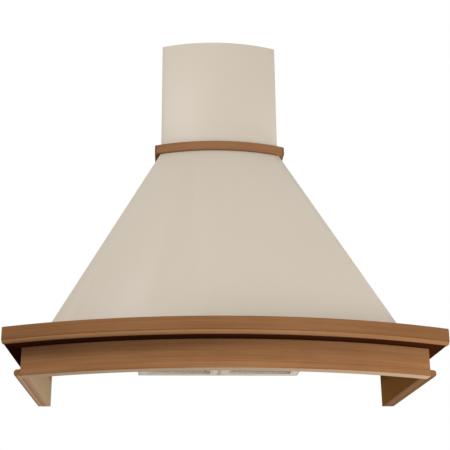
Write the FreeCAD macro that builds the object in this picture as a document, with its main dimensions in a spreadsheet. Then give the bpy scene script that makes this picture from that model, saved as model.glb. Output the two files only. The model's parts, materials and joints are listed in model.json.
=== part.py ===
"""Wall range hood: painted steel canopy and chimney on a bowed timber cornice and apron.

Frame: millimetres, +Z up, +X to the right seen from the front, the front towards -Y.
The origin lies on the wall, on the centre line, at the lower edge of the back plate.
The drawing levels below are counted from the cornice's underside; each sub-part's Placement
brings them down to the origin.
"""
import FreeCAD, Part
import math
import os
import re

import Sketcher
from FreeCAD import Placement, Rotation, Vector

doc = FreeCAD.newDocument("range_hood")

# Driving dimensions, in millimetres, degrees or counts
SIZES = {
    # steel sheet and general clearances
    "sheet": 1.2, "gap": 0.3, "overrun": 4.0, "flange": 16.0,
    # common centre of the bowed fronts, behind the wall
    "bow_centre": 550.5,
    # cornice boards
    "cornice_half": 450.0, "cornice_radius": 1062.5, "cornice_thick": 35.5,
    "cornice_nose": 8.5, "cornice_ease": 2.0, "mitre_spare": 30.0,
    # canopy
    "canopy_half": 373.5, "canopy_radius": 978.5, "canopy_inset": 1.4, "rim_level": 27.0,
    # neck and chimney
    "neck_centre": 200.0, "neck_half": 143.0, "neck_radius": 386.0, "neck_level": 526.0,
    "neck_lip": 12.0,
    "chimney_half": 142.0, "chimney_radius": 374.0, "chimney_tall": 301.0,
    # neck trim
    "trim_tall": 23.0, "trim_side": 15.0, "trim_front": 18.0, "trim_round": 3.0,
    # apron boards and their bead
    "apron_half": 413.0, "apron_radius": 1022.0, "apron_drop": 57.0,
    "apron_side": 18.0, "apron_front": 30.0,
    "bead_tall": 13.0, "bead_side": 13.0, "bead_front": 1.4, "bead_round": 5.5, "bead_front_round": 0.8,
    # underside panel
    "panel_level": 29.0, "panel_wall": 6.0,
    # filter seat
    "seat_half": 190.0, "seat_back": 10.0, "seat_front": 292.0, "seat_low": 15.0, "seat_tall": 16.0,
    "seat_sheet": 1.5, "seat_ledge": 6.0, "seat_web": 4.0,
    # grease filters, level with the seat's lower edge: rim, net and clearances
    "filter_thick": 9.0, "filter_rim": 18.0, "filter_side_gap": 1.0,
    "filter_back_gap": 2.5, "filter_front_gap": 1.0, "net_thick": 1.6, "net_lift": 3.7,
    "net_slot_wide": 12.0, "net_slot_deep": 9.0, "net_margin": 7.0,
    "pivot_radius": 1.5, "pivot_gap": 0.08, "pivot_in": 4.5,
    # filter latches
    "latch_block_wide": 46.0, "latch_block_deep": 30.0, "latch_wide": 34.0, "latch_deep": 22.0,
    "latch_thick": 3.0, "latch_tip": 3.0, "latch_travel": 6.0,
    "latch_stem_in": 9.0, "latch_stem_wide": 16.0, "latch_stem_deep": 8.0, "latch_stem_tall": 5.0,
    "latch_grip": 6.0, "latch_gap": 0.4,
    # chimney extension and its ceiling strap
    "slide_gap": 0.5, "extension_tall": 285.0, "extension_rise": 6.0,
    "strap_tall": 25.0, "strap_thick": 2.0, "strap_deep": 60.0,
    "strap_hole_side": 80.0, "strap_hole_radius": 3.0,
    # fan wheel
    "fan_level": 160.0, "fan_radius": 75.0, "fan_half": 82.0, "fan_blade": 1.2, "fan_blade_deep": 13.0,
    "fan_blade_in": 0.5, "fan_tilt": 32.0, "fan_end": 2.0, "fan_end_deep": 5.0, "fan_disc": 3.0,
    "fan_hub": 9.0, "fan_hub_long": 22.0,
    # scroll housing
    "scroll_half": 95.0, "scroll_wall": 2.5, "scroll_tongue": 88.0, "scroll_grow": 13.0,
    "throat_back": 12.0, "throat_deep": 152.0, "throat_level": 290.0, "inlet_radius": 64.0,
    "ear_wide": 30.0, "ear_tall": 25.0, "ear_low": 168.0, "ear_high": 258.0,
    "rail_low": 140.0, "rail_high": 290.0, "rail_deep": 5.0, "rail_sheet": 1.5, "bush_radius": 9.0,
    # motor and its spider
    "motor_radius": 41.0, "motor_long": 70.0, "motor_start": 12.5, "motor_end_radius": 30.0,
    "motor_end_long": 8.0, "shaft_radius": 4.0, "shaft_gap": 0.05, "shaft_long": 90.0, "shaft_start": 20.0,
    "spider_thick": 2.0, "spider_ring": 76.0, "spider_bore": 67.0, "spider_hub": 18.0, "spider_arm": 14.0,
    # outlet spigot and its two non-return flaps
    "spigot_radius": 75.0, "spigot_wall": 2.5, "spigot_plate": 3.0, "spigot_tall": 45.0,
    "flap_rise": 18.0, "flap_thick": 1.2, "flap_gap": 1.0, "ledge_wide": 3.5, "ledge_thick": 3.0,
    "rod_radius": 1.5, "rod_gap": 0.08, "knuckle_wall": 1.0, "knuckle_long": 24.0, "knuckle_gap": 0.4,
    # lamps
    "lamp_side": 235.0, "lamp_back": 340.0, "lamp_radius": 27.0, "bezel_radius": 34.0,
    "bezel_lip": 4.5, "bezel_lip_thick": 1.0, "glass_radius": 25.7, "glass_thick": 3.0,
    "cup_tall": 30.0, "cup_wall": 1.0,
    "bulb_radius": 5.0, "bulb_long": 12.0, "holder_radius": 9.0, "holder_long": 9.0,
    # push buttons
    "switch_back": 366.0, "switch_half": 54.0, "switch_deep": 24.0, "switch_thick": 2.5,
    "switch_edge": 3.0, "switch_tall": 30.0, "switch_wall": 1.5, "button_pitch": 19.0,
    "button_wide": 14.0, "button_deep": 10.0, "button_gap": 0.3, "button_out": 4.0,
    "button_lip": 1.5, "button_lip_thick": 1.6,
    # terminal box, gland and capacitor on the back plate
    "box_side": 190.0, "box_level": 100.0, "box_wide": 80.0, "box_tall": 60.0, "box_deep": 34.0,
    "box_wall": 2.0, "inlet_level": 130.0,
    "gland_radius": 9.0, "gland_bore": 5.0, "gland_long": 20.0, "gland_nut": 12.0, "gland_nut_long": 8.0,
    "cap_side": 178.0, "cap_level": 120.0, "cap_radius": 16.0, "cap_long": 58.0, "cap_foot": 12.0,
    "cap_stand": 4.0,
    # wall fixing
    "hole_radius": 4.0, "hole_side": 180.0, "hole_low": 66.0, "hole_high": 300.0,
    # dowels between the apron and the cornice
    "dowel_radius": 4.0, "dowel_long": 24.0, "dowel_gap": 0.15, "dowel_room": 0.6,
    "dowel_near": 90.0, "dowel_far": 270.0, "dowel_span": 250.0,
    # screws
    "screw_radius": 2.0, "screw_head": 4.2, "screw_head_tall": 2.2, "screw_long": 9.0,
}
FAN_BLADES = 26
BUTTONS = 5
NET_COLUMNS = 10
NET_ROWS = 20
FULL_TURN = 360
QUARTER_TURN = 90

sheet_object = doc.addObject("Spreadsheet::Sheet", "Sizes")
for row, (alias, value) in enumerate(SIZES.items(), start=1):
    sheet_object.set("A%d" % row, alias)
    sheet_object.set("B%d" % row, str(value))
    sheet_object.setAlias("B%d" % row, alias)
doc.recompute()

WORD = re.compile(r"[a-z][a-z_]*")


def link(text):
    """A formula in size names, written as an expression on the sheet's cells."""
    return WORD.sub(lambda m: "Sizes." + m.group(0) if m.group(0) in SIZES else m.group(0), str(text))


def size(text):
    """The number that a formula in size names gives."""
    return float(sheet_object.evalExpression(link(text)))


def corner(centre, radius, half):
    """Formula of the y of a bowed front where its side is half away from the centre line."""
    return "(%s - sqrt((%s)^2 - (%s)^2))" % (centre, radius, half)


# Sketches and features


def body(label):
    made = doc.addObject("PartDesign::Body", label)
    made.Label = label
    return made


def sketch_on(owner, name, plane="XY_Plane", offset="0"):
    sketch = owner.newObject("Sketcher::SketchObject", name)
    support = [f for f in owner.Origin.OriginFeatures if f.Role == plane][0]
    sketch.AttachmentSupport = (support, [""])
    sketch.MapMode = "FlatFace"
    sketch.setExpression("AttachmentOffset.Base.z", link(offset))
    return sketch


def hold(sketch, geometry, point, place):
    """Fixes a point of a sketch at a place written in size names."""
    for kind, formula in zip(("DistanceX", "DistanceY"), place):
        index = sketch.addConstraint(Sketcher.Constraint(kind, -1, 1, geometry, point, size(formula)))
        sketch.setExpression("Constraints[%d]" % index, link(formula))


def outline(sketch, places, bows=None, arcs=None):
    """A closed outline through places.

    bows gives the radius of a side that bows towards -Y.
    arcs gives the radius and centre of a side that runs anticlockwise round that centre.
    """
    bows = bows or {}
    arcs = arcs or {}
    points = [Vector(size(x), size(y), 0) for x, y in places]
    ends = []
    first = sketch.GeometryCount
    for i, start in enumerate(points):
        stop = points[(i + 1) % len(points)]
        if i in bows:
            radius = size(bows[i])
            middle = (start + stop) / 2
            rise = math.sqrt(radius ** 2 - (stop - start).Length ** 2 / 4)
            centre = middle + Vector(0, rise, 0)
            left, right = (start, stop) if start.x < stop.x else (stop, start)
            angles = [math.atan2(p.y - centre.y, p.x - centre.x) for p in (left, right)]
            sketch.addGeometry(Part.ArcOfCircle(Part.Circle(centre, Vector(0, 0, 1), radius), *angles))
            ends.append((1, 2) if start.x < stop.x else (2, 1))
        elif i in arcs:
            centre = Vector(size(arcs[i][1]), size(arcs[i][2]), 0)
            angles = [math.atan2(p.y - centre.y, p.x - centre.x) for p in (start, stop)]
            round_line = Part.Circle(centre, Vector(0, 0, 1), size(arcs[i][0]))
            sketch.addGeometry(Part.ArcOfCircle(round_line, *angles))
            ends.append((1, 2))
        else:
            sketch.addGeometry(Part.LineSegment(start, stop))
            ends.append((1, 2))
    for i in range(len(points)):
        after = (i + 1) % len(points)
        sketch.addConstraint(
            Sketcher.Constraint("Coincident", first + i, ends[i][1], first + after, ends[after][0]))
    for i, place in enumerate(places):
        hold(sketch, first + i, ends[i][0], place)
    radii = dict(bows)
    radii.update({i: arc[0] for i, arc in arcs.items()})
    for i, radius in radii.items():
        index = sketch.addConstraint(Sketcher.Constraint("Radius", first + i, size(radius)))
        sketch.setExpression("Constraints[%d]" % index, link(radius))


def box_outline(sketch, left, right, low, high):
    outline(sketch, [(left, low), (right, low), (right, high), (left, high)])


def circle(sketch, across, along, radius):
    centre = Vector(size(across), size(along), 0)
    index = sketch.addGeometry(Part.Circle(centre, Vector(0, 0, 1), size(radius)))
    hold(sketch, index, 3, (across, along))
    at = sketch.addConstraint(Sketcher.Constraint("Radius", index, size(radius)))
    sketch.setExpression("Constraints[%d]" % at, link(radius))


def grow(owner, sketch, length, kind="Pad", reverse=False):
    """Pads or pockets a sketch by a length written in size names."""
    feature = owner.newObject("PartDesign::" + kind, sketch.Name + "_" + kind.lower())
    feature.Profile = sketch
    feature.setExpression("Length", link(length))
    feature.Reversed = reverse
    sketch.Visibility = False
    doc.recompute()
    return feature


def cut(owner, sketch, length, reverse=False):
    """A pocket that is sure to take something away."""
    before = owner.Shape.Volume
    feature = grow(owner, sketch, length, "Pocket", reverse)
    if owner.Shape.Volume > before - 1e-6:
        raise ValueError("%s cuts nothing" % feature.Name)
    return feature


def round_edges(owner, radius, wanted, kind="Fillet"):
    """Rounds or bevels the edges of a body that a test on their middle point chooses."""
    base = owner.Tip
    names = ["Edge%d" % (i + 1) for i, edge in enumerate(base.Shape.Edges) if wanted(edge)]
    if not names:
        raise ValueError("%s has no such edge" % owner.Label)
    feature = owner.newObject("PartDesign::" + kind, owner.Label + "_" + kind.lower())
    feature.Base = (base, names)
    feature.setExpression("Radius" if kind == "Fillet" else "Size", link(radius))
    doc.recompute()
    return feature


def middle(edge):
    return edge.valueAt((edge.FirstParameter + edge.LastParameter) / 2)


def near(value, formula):
    return abs(value - size(formula)) < size("gap")


def bowed(sketch, half, radius, centre, back):
    """Outline with straight sides and back and a bowed front."""
    front = corner(centre, radius, half)
    places = [(half, back), (half, front), ("-(%s)" % half, front), ("-(%s)" % half, back)]
    outline(sketch, places, {1: radius})


def plate(label, plane, offset, places, thick, bows=None, reverse=False):
    """A body padded from one outline."""
    made = body(label)
    sketch = sketch_on(made, label + "_outline", plane, offset)
    outline(sketch, places, bows)
    grow(made, sketch, thick, reverse=reverse)
    return made


# Timber cornice: three mitred boards round the canopy's rim


def cornice():
    inner = "(canopy_half + gap)"
    inner_radius = "(canopy_radius + gap)"
    outer_front = corner("bow_centre", "cornice_radius", "cornice_half")
    inner_front = corner("bow_centre", inner_radius, inner)
    wide = "(cornice_half + mitre_spare)"
    front = plate(
        "cornice_front", "XY_Plane", "0",
        [(wide, corner("bow_centre", "cornice_radius", wide)),
         ("-" + wide, corner("bow_centre", "cornice_radius", wide)),
         ("-" + wide, corner("bow_centre", inner_radius, wide)),
         (wide, corner("bow_centre", inner_radius, wide))],
        "cornice_thick", {0: "cornice_radius", 2: inner_radius})
    for name, side in (("cornice_left", "-"), ("cornice_right", "")):
        board = plate(
            name, "XY_Plane", "0",
            [(side + inner, "0"), (side + "cornice_half", "0"),
             (side + "cornice_half", outer_front), (side + inner, inner_front)],
            "cornice_thick")
        for radius, level in (("cornice_nose", "0"), ("cornice_ease", "cornice_thick")):
            round_edges(board, radius, lambda e: near(abs(middle(e).x), "cornice_half")
                        and near(middle(e).z, level) and e.Length > size("cornice_thick"))
    for radius, level in (("cornice_nose", "0"), ("cornice_ease", "cornice_thick")):
        round_edges(front, radius, lambda e: near(middle(e).y, "bow_centre - cornice_radius")
                    and near(middle(e).z, level) and e.Length > size("cornice_half"))
    mitres = sketch_on(front, "cornice_mitres", offset="cornice_thick + overrun")
    far = "2*cornice_half - " + inner
    ahead = "2*%s - %s" % (outer_front, inner_front)
    behind = "2*%s - %s" % (inner_front, outer_front)
    for side in ("-", ""):
        outline(mitres, [("%s(2*%s - cornice_half)" % (side, inner), behind), ("%s(%s)" % (side, far), ahead),
                         ("%s(%s)" % (side, far), behind)])
    cut(front, mitres, "cornice_thick + 2*overrun")
    for name in ("left", "right", "front"):
        board = doc.getObjectsByLabel("cornice_" + name)[0]
        rebate = sketch_on(board, "cornice_rebate_" + name)
        bowed(rebate, "(apron_half - apron_side)", "(apron_radius - apron_front)", "bow_centre", "overrun")
        cut(board, rebate, "rim_level", reverse=True)


# Timber apron under the cornice, with its bead


def apron():
    inner_radius = "(apron_radius - apron_front)"
    outer_front = corner("bow_centre", "apron_radius", "apron_half")
    inner_front = corner("bow_centre", inner_radius, "apron_half")
    plate(
        "apron_front", "XY_Plane", "-apron_drop",
        [("apron_half", outer_front), ("-apron_half", outer_front),
         ("-apron_half", inner_front), ("apron_half", inner_front)],
        "apron_drop", {0: "apron_radius", 2: inner_radius})
    board = "(apron_half - apron_side)"
    board_front = corner("bow_centre", inner_radius, board)
    bead_half = "(apron_half + bead_side)"
    bead_radius = "(apron_radius + bead_front)"
    for hand, side in (("left", "-"), ("right", "")):
        plate(
            "apron_" + hand, "XY_Plane", "-apron_drop",
            [(side + board, "0"), (side + "apron_half", "0"),
             (side + "apron_half", inner_front), (side + board, board_front)],
            "apron_drop", {2: inner_radius})
        bead = plate(
            "bead_" + hand, "XY_Plane", "-apron_drop",
            [(side + "apron_half", "0"), (side + bead_half, "0"),
             (side + bead_half, corner("bow_centre", bead_radius, bead_half)),
             (side + "apron_half", corner("bow_centre", bead_radius, "apron_half"))],
            "bead_tall", {2: bead_radius})
        round_edges(bead, "bead_round", lambda e: near(abs(middle(e).x), bead_half)
                    and e.Length > size("apron_half") / 2)
    bead_front = corner("bow_centre", bead_radius, "apron_half")
    seat_radius = "(apron_radius + gap)"
    seat_front = corner("bow_centre", seat_radius, "apron_half")
    bead = plate(
        "bead_front", "XY_Plane", "-apron_drop",
        [("apron_half", bead_front), ("-apron_half", bead_front),
         ("-apron_half", seat_front), ("apron_half", seat_front)],
        "bead_tall", {0: bead_radius, 2: seat_radius})
    round_edges(bead, "bead_front_round",
                lambda e: near(middle(e).y, "bow_centre - apron_radius - bead_front")
                and e.Length > size("apron_half"))


# Timber trim round the neck


def neck_trim():
    inner = "(chimney_half + gap)"
    inner_radius = "(chimney_radius + gap)"
    outer = "(chimney_half + trim_side)"
    outer_radius = "(chimney_radius + trim_front)"
    outer_front = corner("neck_centre", outer_radius, outer)
    inner_front = corner("neck_centre", inner_radius, inner)
    front = plate(
        "neck_trim_front", "XY_Plane", "neck_level",
        [(outer, outer_front), ("-" + outer, outer_front), ("-" + inner, inner_front), (inner, inner_front)],
        "trim_tall", {0: outer_radius, 2: inner_radius})
    round_edges(front, "trim_round", lambda e: near(middle(e).y, "neck_centre - chimney_radius - trim_front")
                and e.Length > size("chimney_half"))
    for hand, side in (("left", "-"), ("right", "")):
        board = plate(
            "neck_trim_" + hand, "XY_Plane", "neck_level",
            [(side + inner, "0"), (side + outer, "0"),
             (side + outer, outer_front), (side + inner, inner_front)],
            "trim_tall")
        round_edges(board, "trim_round", lambda e: near(abs(middle(e).x), outer)
                    and e.Length > size("chimney_half") / 2)


# Steel canopy: lofted shell on a straight rim, flanged at the back and the neck


def canopy():
    back = "-sheet"
    shell = body("canopy_shell")
    low = sketch_on(shell, "canopy_low", offset="cornice_thick")
    bowed(low, "canopy_half", "canopy_radius", "bow_centre", back)
    high = sketch_on(shell, "canopy_high", offset="neck_level")
    bowed(high, "neck_half", "neck_radius", "neck_centre", back)
    skin = shell.newObject("PartDesign::AdditiveLoft", "canopy_skin")
    skin.Profile = low
    skin.Sections = [high]
    skin.Ruled = True
    doc.recompute()
    rim = sketch_on(shell, "canopy_rim", offset="cornice_thick")
    bowed(rim, "canopy_half", "canopy_radius", "bow_centre", back)
    grow(shell, rim, "cornice_thick - rim_level", reverse=True)
    inside_low = sketch_on(shell, "canopy_inside_low", offset="cornice_thick")
    bowed(inside_low, "(canopy_half - canopy_inset)", "(canopy_radius - canopy_inset)",
          "bow_centre", "-2*sheet")
    inside_high = sketch_on(shell, "canopy_inside_high", offset="neck_level - sheet")
    bowed(inside_high, "(neck_half - canopy_inset)", "(neck_radius - canopy_inset)",
          "neck_centre", "-2*sheet")
    hollow = shell.newObject("PartDesign::SubtractiveLoft", "canopy_hollow")
    hollow.Profile = inside_low
    hollow.Sections = [inside_high]
    hollow.Ruled = True
    doc.recompute()
    mouth = sketch_on(shell, "canopy_mouth", offset="cornice_thick")
    bowed(mouth, "(canopy_half - canopy_inset)", "(canopy_radius - canopy_inset)", "bow_centre", "-2*sheet")
    cut(shell, mouth, "cornice_thick + overrun")
    neck = sketch_on(shell, "canopy_neck", offset="neck_level + overrun")
    bowed(neck, "(neck_half - neck_lip)", "(neck_radius - neck_lip)", "neck_centre", "-2*sheet")
    cut(shell, neck, "2*overrun")
    window = sketch_on(shell, "canopy_window", "XZ_Plane", "0")
    outline(window, [("-(canopy_half - flange)", "-overrun"), ("canopy_half - flange", "-overrun"),
                     ("canopy_half - flange", "cornice_thick"),
                     ("neck_half - flange", "neck_level + overrun"),
                     ("-(neck_half - flange)", "neck_level + overrun"),
                     ("-(canopy_half - flange)", "cornice_thick")])
    cut(shell, window, "3*sheet", reverse=True)


def back_plate():
    made = plate(
        "back_plate", "XZ_Plane", "0",
        [("-canopy_half", "rim_level"), ("canopy_half", "rim_level"), ("canopy_half", "cornice_thick"),
         ("neck_half", "neck_level - overrun"), ("-neck_half", "neck_level - overrun"),
         ("-canopy_half", "cornice_thick")],
        "sheet")
    holes = sketch_on(made, "wall_holes", "XZ_Plane", "0")
    for side in ("-hole_side", "hole_side"):
        for level in ("hole_low", "hole_high"):
            circle(holes, side, level, "hole_radius")
    circle(holes, "box_side", "inlet_level", "gland_radius + gap")
    cut(made, holes, "2*sheet", reverse=True)


# Chimney cover and the extension that slides in it


def channel(label, half, radius, back, low, tall):
    """An upright bowed channel, open at the back between two return flanges."""
    made = body(label)
    skin = sketch_on(made, label + "_skin", offset=low)
    bowed(skin, half, radius, "neck_centre", back)
    grow(made, skin, tall)
    inside = sketch_on(made, label + "_inside", offset="%s + %s + overrun" % (low, tall))
    bowed(inside, "(%s - sheet)" % half, "(%s - sheet)" % radius, "neck_centre", "%s - sheet" % back)
    cut(made, inside, "%s + 2*overrun" % tall)
    window = sketch_on(made, label + "_window", "XZ_Plane", "0")
    box_outline(window, "-(%s - flange)" % half, "%s - flange" % half,
                "%s - overrun" % low, "%s + %s + overrun" % (low, tall))
    cut(made, window, "overrun", reverse=True)
    return made


def chimney():
    channel("chimney_cover", "chimney_half", "chimney_radius", "0", "neck_level", "chimney_tall")
    half = "(chimney_half - sheet - slide_gap)"
    radius = "(chimney_radius - sheet - slide_gap)"
    back = "-(sheet + slide_gap)"
    low = "(neck_level + extension_rise)"
    channel("chimney_extension", half, radius, back, low, "extension_tall")
    strap = body("ceiling_strap")
    out = "(chimney_half - 2*sheet - slide_gap - gap)"
    inn = "(%s - strap_thick)" % out
    rear = "-(2*sheet + slide_gap + gap)"
    form = sketch_on(strap, "strap_form", offset="%s + extension_tall - strap_tall" % low)
    outline(form, [("-" + out, "-strap_deep"), ("-" + inn, "-strap_deep"),
                   ("-" + inn, rear + " - strap_thick"),
                   (inn, rear + " - strap_thick"), (inn, "-strap_deep"), (out, "-strap_deep"),
                   (out, rear), ("-" + out, rear)])
    grow(strap, form, "strap_tall")
    holes = sketch_on(strap, "strap_holes", "XZ_Plane", "0")
    for side in ("-strap_hole_side", "strap_hole_side"):
        circle(holes, side, "%s + extension_tall - strap_tall/2" % low, "strap_hole_radius")
    cut(strap, holes, "overrun + strap_thick", reverse=True)


# Underside panel with its openings


def underside():
    panel = body("underside_panel")
    half = "(canopy_half - canopy_inset - gap)"
    radius = "(canopy_radius - canopy_inset - gap)"
    back = "-(2*sheet + gap)"
    tray = sketch_on(panel, "panel_tray", offset="panel_level")
    bowed(tray, half, radius, "bow_centre", back)
    grow(panel, tray, "panel_wall")
    inside = sketch_on(panel, "panel_inside", offset="panel_level + panel_wall")
    bowed(inside, "(%s - sheet)" % half, "(%s - sheet)" % radius, "bow_centre", back + " - sheet")
    cut(panel, inside, "panel_wall - sheet")
    openings = sketch_on(panel, "panel_openings", offset="panel_level + panel_wall")
    box_outline(openings, "-seat_half", "seat_half", "-seat_front", "-seat_back")
    box_outline(openings, "-(switch_half - switch_edge)", "switch_half - switch_edge",
                "-(switch_back + switch_deep/2 - switch_edge)",
                "-(switch_back - switch_deep/2 + switch_edge)")
    for side in ("-", ""):
        circle(openings, side + "lamp_side", "-lamp_back", "lamp_radius")
    cut(panel, openings, "panel_wall + overrun")


# Primitives and booleans

ALONG_X = Rotation(Vector(0, 1, 0), QUARTER_TURN)
TOWARDS_WALL = Rotation(Vector(1, 0, 0), -QUARTER_TURN)
AWAY_FROM_WALL = Rotation(Vector(1, 0, 0), QUARTER_TURN)
UPRIGHT = Rotation()


def solid(kind, name, at, turn=UPRIGHT, **dims):
    """A Part primitive whose place and sizes are written in size names."""
    made = doc.addObject("Part::" + kind, name)
    made.Placement = Placement(Vector(0, 0, 0), turn)
    for axis, formula in zip("xyz", at):
        made.setExpression("Placement.Base." + axis, link(formula))
    for name, formula in dims.items():
        made.setExpression(name, link(formula))
    return made


def block(name, left, right, front, back, low, high):
    """A box between named planes."""
    return solid("Box", name, (left, front, low), Length="%s - (%s)" % (right, left),
                 Width="%s - (%s)" % (back, front), Height="%s - (%s)" % (high, low))


def rod(name, at, turn, radius, length):
    return solid("Cylinder", name, at, turn, Radius=radius, Height=length)


def fused(label, pieces):
    made = doc.addObject("Part::MultiFuse", label)
    made.Label = label
    made.Shapes = pieces
    return made


def cut_from(label, base, tools):
    """A base with tools taken out of it."""
    made = doc.addObject("Part::Cut", label)
    made.Label = label
    made.Base = base
    made.Tool = tools[0] if len(tools) == 1 else fused(label + "_tools", tools)
    return made


def grouped(label, pieces):
    """Alike pieces that stay separate solids of one sub-part."""
    made = doc.addObject("Part::Compound", label)
    made.Label = label
    made.Links = pieces
    return made


# Filter seat, filters, latches and their hinge rod

PIVOT_BACK = "(seat_back + seat_sheet + filter_back_gap + pivot_in)"
PIVOT_LEVEL = "(seat_low + filter_thick/2)"
FILTER_LOW = "seat_low"
FILTER_FRONT = "(seat_front - seat_sheet - filter_front_gap)"
FILTER_BACK = "(seat_back + seat_sheet + filter_back_gap)"
FILTER_OUTER = "(seat_half - seat_sheet - filter_side_gap)"
FILTER_INNER = "(seat_web/2 + filter_side_gap)"
FILTER_MIDDLE = "((%s + %s)/2)" % (FILTER_OUTER, FILTER_INNER)


def filter_seat():
    top = "seat_low + seat_tall"
    outer = block("seat_outer", "-seat_half", "seat_half", "-seat_front", "-seat_back", "seat_low", top)
    half = "(seat_half - seat_sheet)"
    front = "-(seat_front - seat_sheet)"
    back = "-(seat_back + seat_sheet)"
    room = block("seat_room", "-" + half, half, front, back, "seat_low - overrun", top + " - seat_sheet")
    ledge = block("seat_window", "-(%s - seat_ledge)" % half, "%s - seat_ledge" % half,
                  front + " + seat_ledge", back + " - seat_ledge", "seat_low", top + " + overrun")
    pivot = rod("seat_pivot_hole", ("-(seat_half + overrun)", "-" + PIVOT_BACK, PIVOT_LEVEL), ALONG_X,
                "pivot_radius + pivot_gap", "2*(seat_half + overrun)")
    shell = cut_from("seat_shell", outer, [room, ledge, pivot])
    web = block("seat_web_bar", "-seat_web/2", "seat_web/2", front, back, "seat_low", top)
    web_hole = rod("seat_web_hole", ("-overrun", "-" + PIVOT_BACK, PIVOT_LEVEL), ALONG_X,
                   "pivot_radius + pivot_gap", "2*overrun")
    bar = cut_from("seat_bar", web, [web_hole])
    fused("filter_seat", [shell, bar])
    grouped("filter_pivot", [rod(
        "pivot_rod", ("-seat_half", "-" + PIVOT_BACK, PIVOT_LEVEL), ALONG_X, "pivot_radius", "2*seat_half")])


def filter_net(hand, left, right):
    """Perforated net in the filter's rim, cut by a patterned slot."""
    net = body("filter_net_" + hand)
    low = "%s + net_lift" % FILTER_LOW
    front = "-(%s - filter_rim)" % FILTER_FRONT
    back = "-(%s + filter_rim)" % FILTER_BACK
    form = sketch_on(net, "net_form_" + hand, offset=low)
    box_outline(form, left, right, front, back)
    block_half = "latch_block_wide/2 + gap"
    mid = "(%s + %s)/2" % (left, right)
    grow(net, form, "net_thick")
    notch = sketch_on(net, "net_notch_" + hand, offset=low + " + net_thick")
    box_outline(notch, "%s - (%s)" % (mid, block_half), "%s + %s" % (mid, block_half),
                front + " - overrun", front + " + latch_block_deep - filter_rim + gap")
    cut(net, notch, "net_thick + overrun")
    slot = sketch_on(net, "net_slot_" + hand, offset=low + " + net_thick")
    start = "(%s + net_margin)" % left
    deep = "(%s - net_margin - net_slot_deep)" % back
    box_outline(slot, start, start + " + net_slot_wide", deep, deep + " + net_slot_deep")
    hole = cut(net, slot, "net_thick + overrun")
    across = net.newObject("PartDesign::LinearPattern", "net_across_" + hand)
    across.Direction = (slot, ["H_Axis"])
    across.setExpression("Length", link("%s - (%s) - 2*net_margin - net_slot_wide" % (right, left)))
    across.Occurrences = NET_COLUMNS
    along = net.newObject("PartDesign::LinearPattern", "net_along_" + hand)
    along.Direction = (slot, ["V_Axis"])
    along.Reversed = True
    rows_deep = "%s - (%s) - latch_block_deep - net_margin - net_slot_deep" % (back, front)
    along.setExpression("Length", link(rows_deep))
    along.Occurrences = NET_ROWS
    both = net.newObject("PartDesign::MultiTransform", "net_slots_" + hand)
    both.Originals = [hole]
    both.Transformations = [across, along]
    net.Tip = both
    doc.recompute()


def filters():
    high = "%s + filter_thick" % FILTER_LOW
    for hand, side in (("left", "-"), ("right", "")):
        ends = sorted([side + FILTER_OUTER, side + FILTER_INNER], key=size)
        left, right = ends
        mid = side + FILTER_MIDDLE
        outer = block("filter_outer_" + hand, left, right, "-" + FILTER_FRONT, "-" + FILTER_BACK,
                      FILTER_LOW, high)
        window = block("filter_window_" + hand, left + " + filter_rim", right + " - filter_rim",
                       "-%s + filter_rim" % FILTER_FRONT, "-%s - filter_rim" % FILTER_BACK,
                       FILTER_LOW + " - overrun", high + " + overrun")
        ring = cut_from("filter_ring_" + hand, outer, [window])
        lug = block("latch_block_" + hand, mid + " - latch_block_wide/2", mid + " + latch_block_wide/2",
                    "-" + FILTER_FRONT, "-%s + latch_block_deep" % FILTER_FRONT, FILTER_LOW, high)
        whole = fused("filter_rim_" + hand, [ring, lug])
        bore = rod("filter_bore_" + hand, (left + " - overrun", "-" + PIVOT_BACK, PIVOT_LEVEL), ALONG_X,
                   "pivot_radius + pivot_gap", "%s - %s + 2*overrun" % (FILTER_OUTER, FILTER_INNER))
        stem_front = "(-%s + latch_stem_in + latch_gap)" % FILTER_FRONT
        slot = block("latch_slot_" + hand, mid + " - latch_stem_wide/2 - latch_gap",
                     mid + " + latch_stem_wide/2 + latch_gap", stem_front + " - latch_gap",
                     stem_front + " + latch_stem_deep + latch_travel + latch_gap",
                     FILTER_LOW + " - overrun", high + " + overrun")
        cut_from("filter_frame_" + hand, whole, [bore, slot])
        top = "(%s - latch_gap)" % FILTER_LOW
        tip = "-(seat_front + latch_tip)"
        base = block("latch_base_" + hand, mid + " - latch_wide/2", mid + " + latch_wide/2",
                     tip, tip + " + latch_deep", top + " - latch_thick", top)
        stem = block("latch_stem_" + hand, mid + " - latch_stem_wide/2", mid + " + latch_stem_wide/2",
                     stem_front, stem_front + " + latch_stem_deep", top + " - latch_thick/2",
                     top + " + latch_stem_tall")
        grip = block("latch_grip_" + hand, mid + " - latch_wide/2", mid + " + latch_wide/2",
                     tip + " + latch_deep - latch_thick", tip + " + latch_deep",
                     top + " - latch_grip", top)
        fused("filter_latch_" + hand, [base, stem, grip])
        filter_net(hand, left + " + filter_rim", right + " - filter_rim")


# Blower: scroll, mounting, fan wheel and motor

FAN_BACK = "(throat_back + scroll_tongue + 2*scroll_grow + scroll_grow)"
THROAT_FRONT = "(throat_back + throat_deep)"
DUCT_BACK = "(throat_back + throat_deep/2)"


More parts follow.
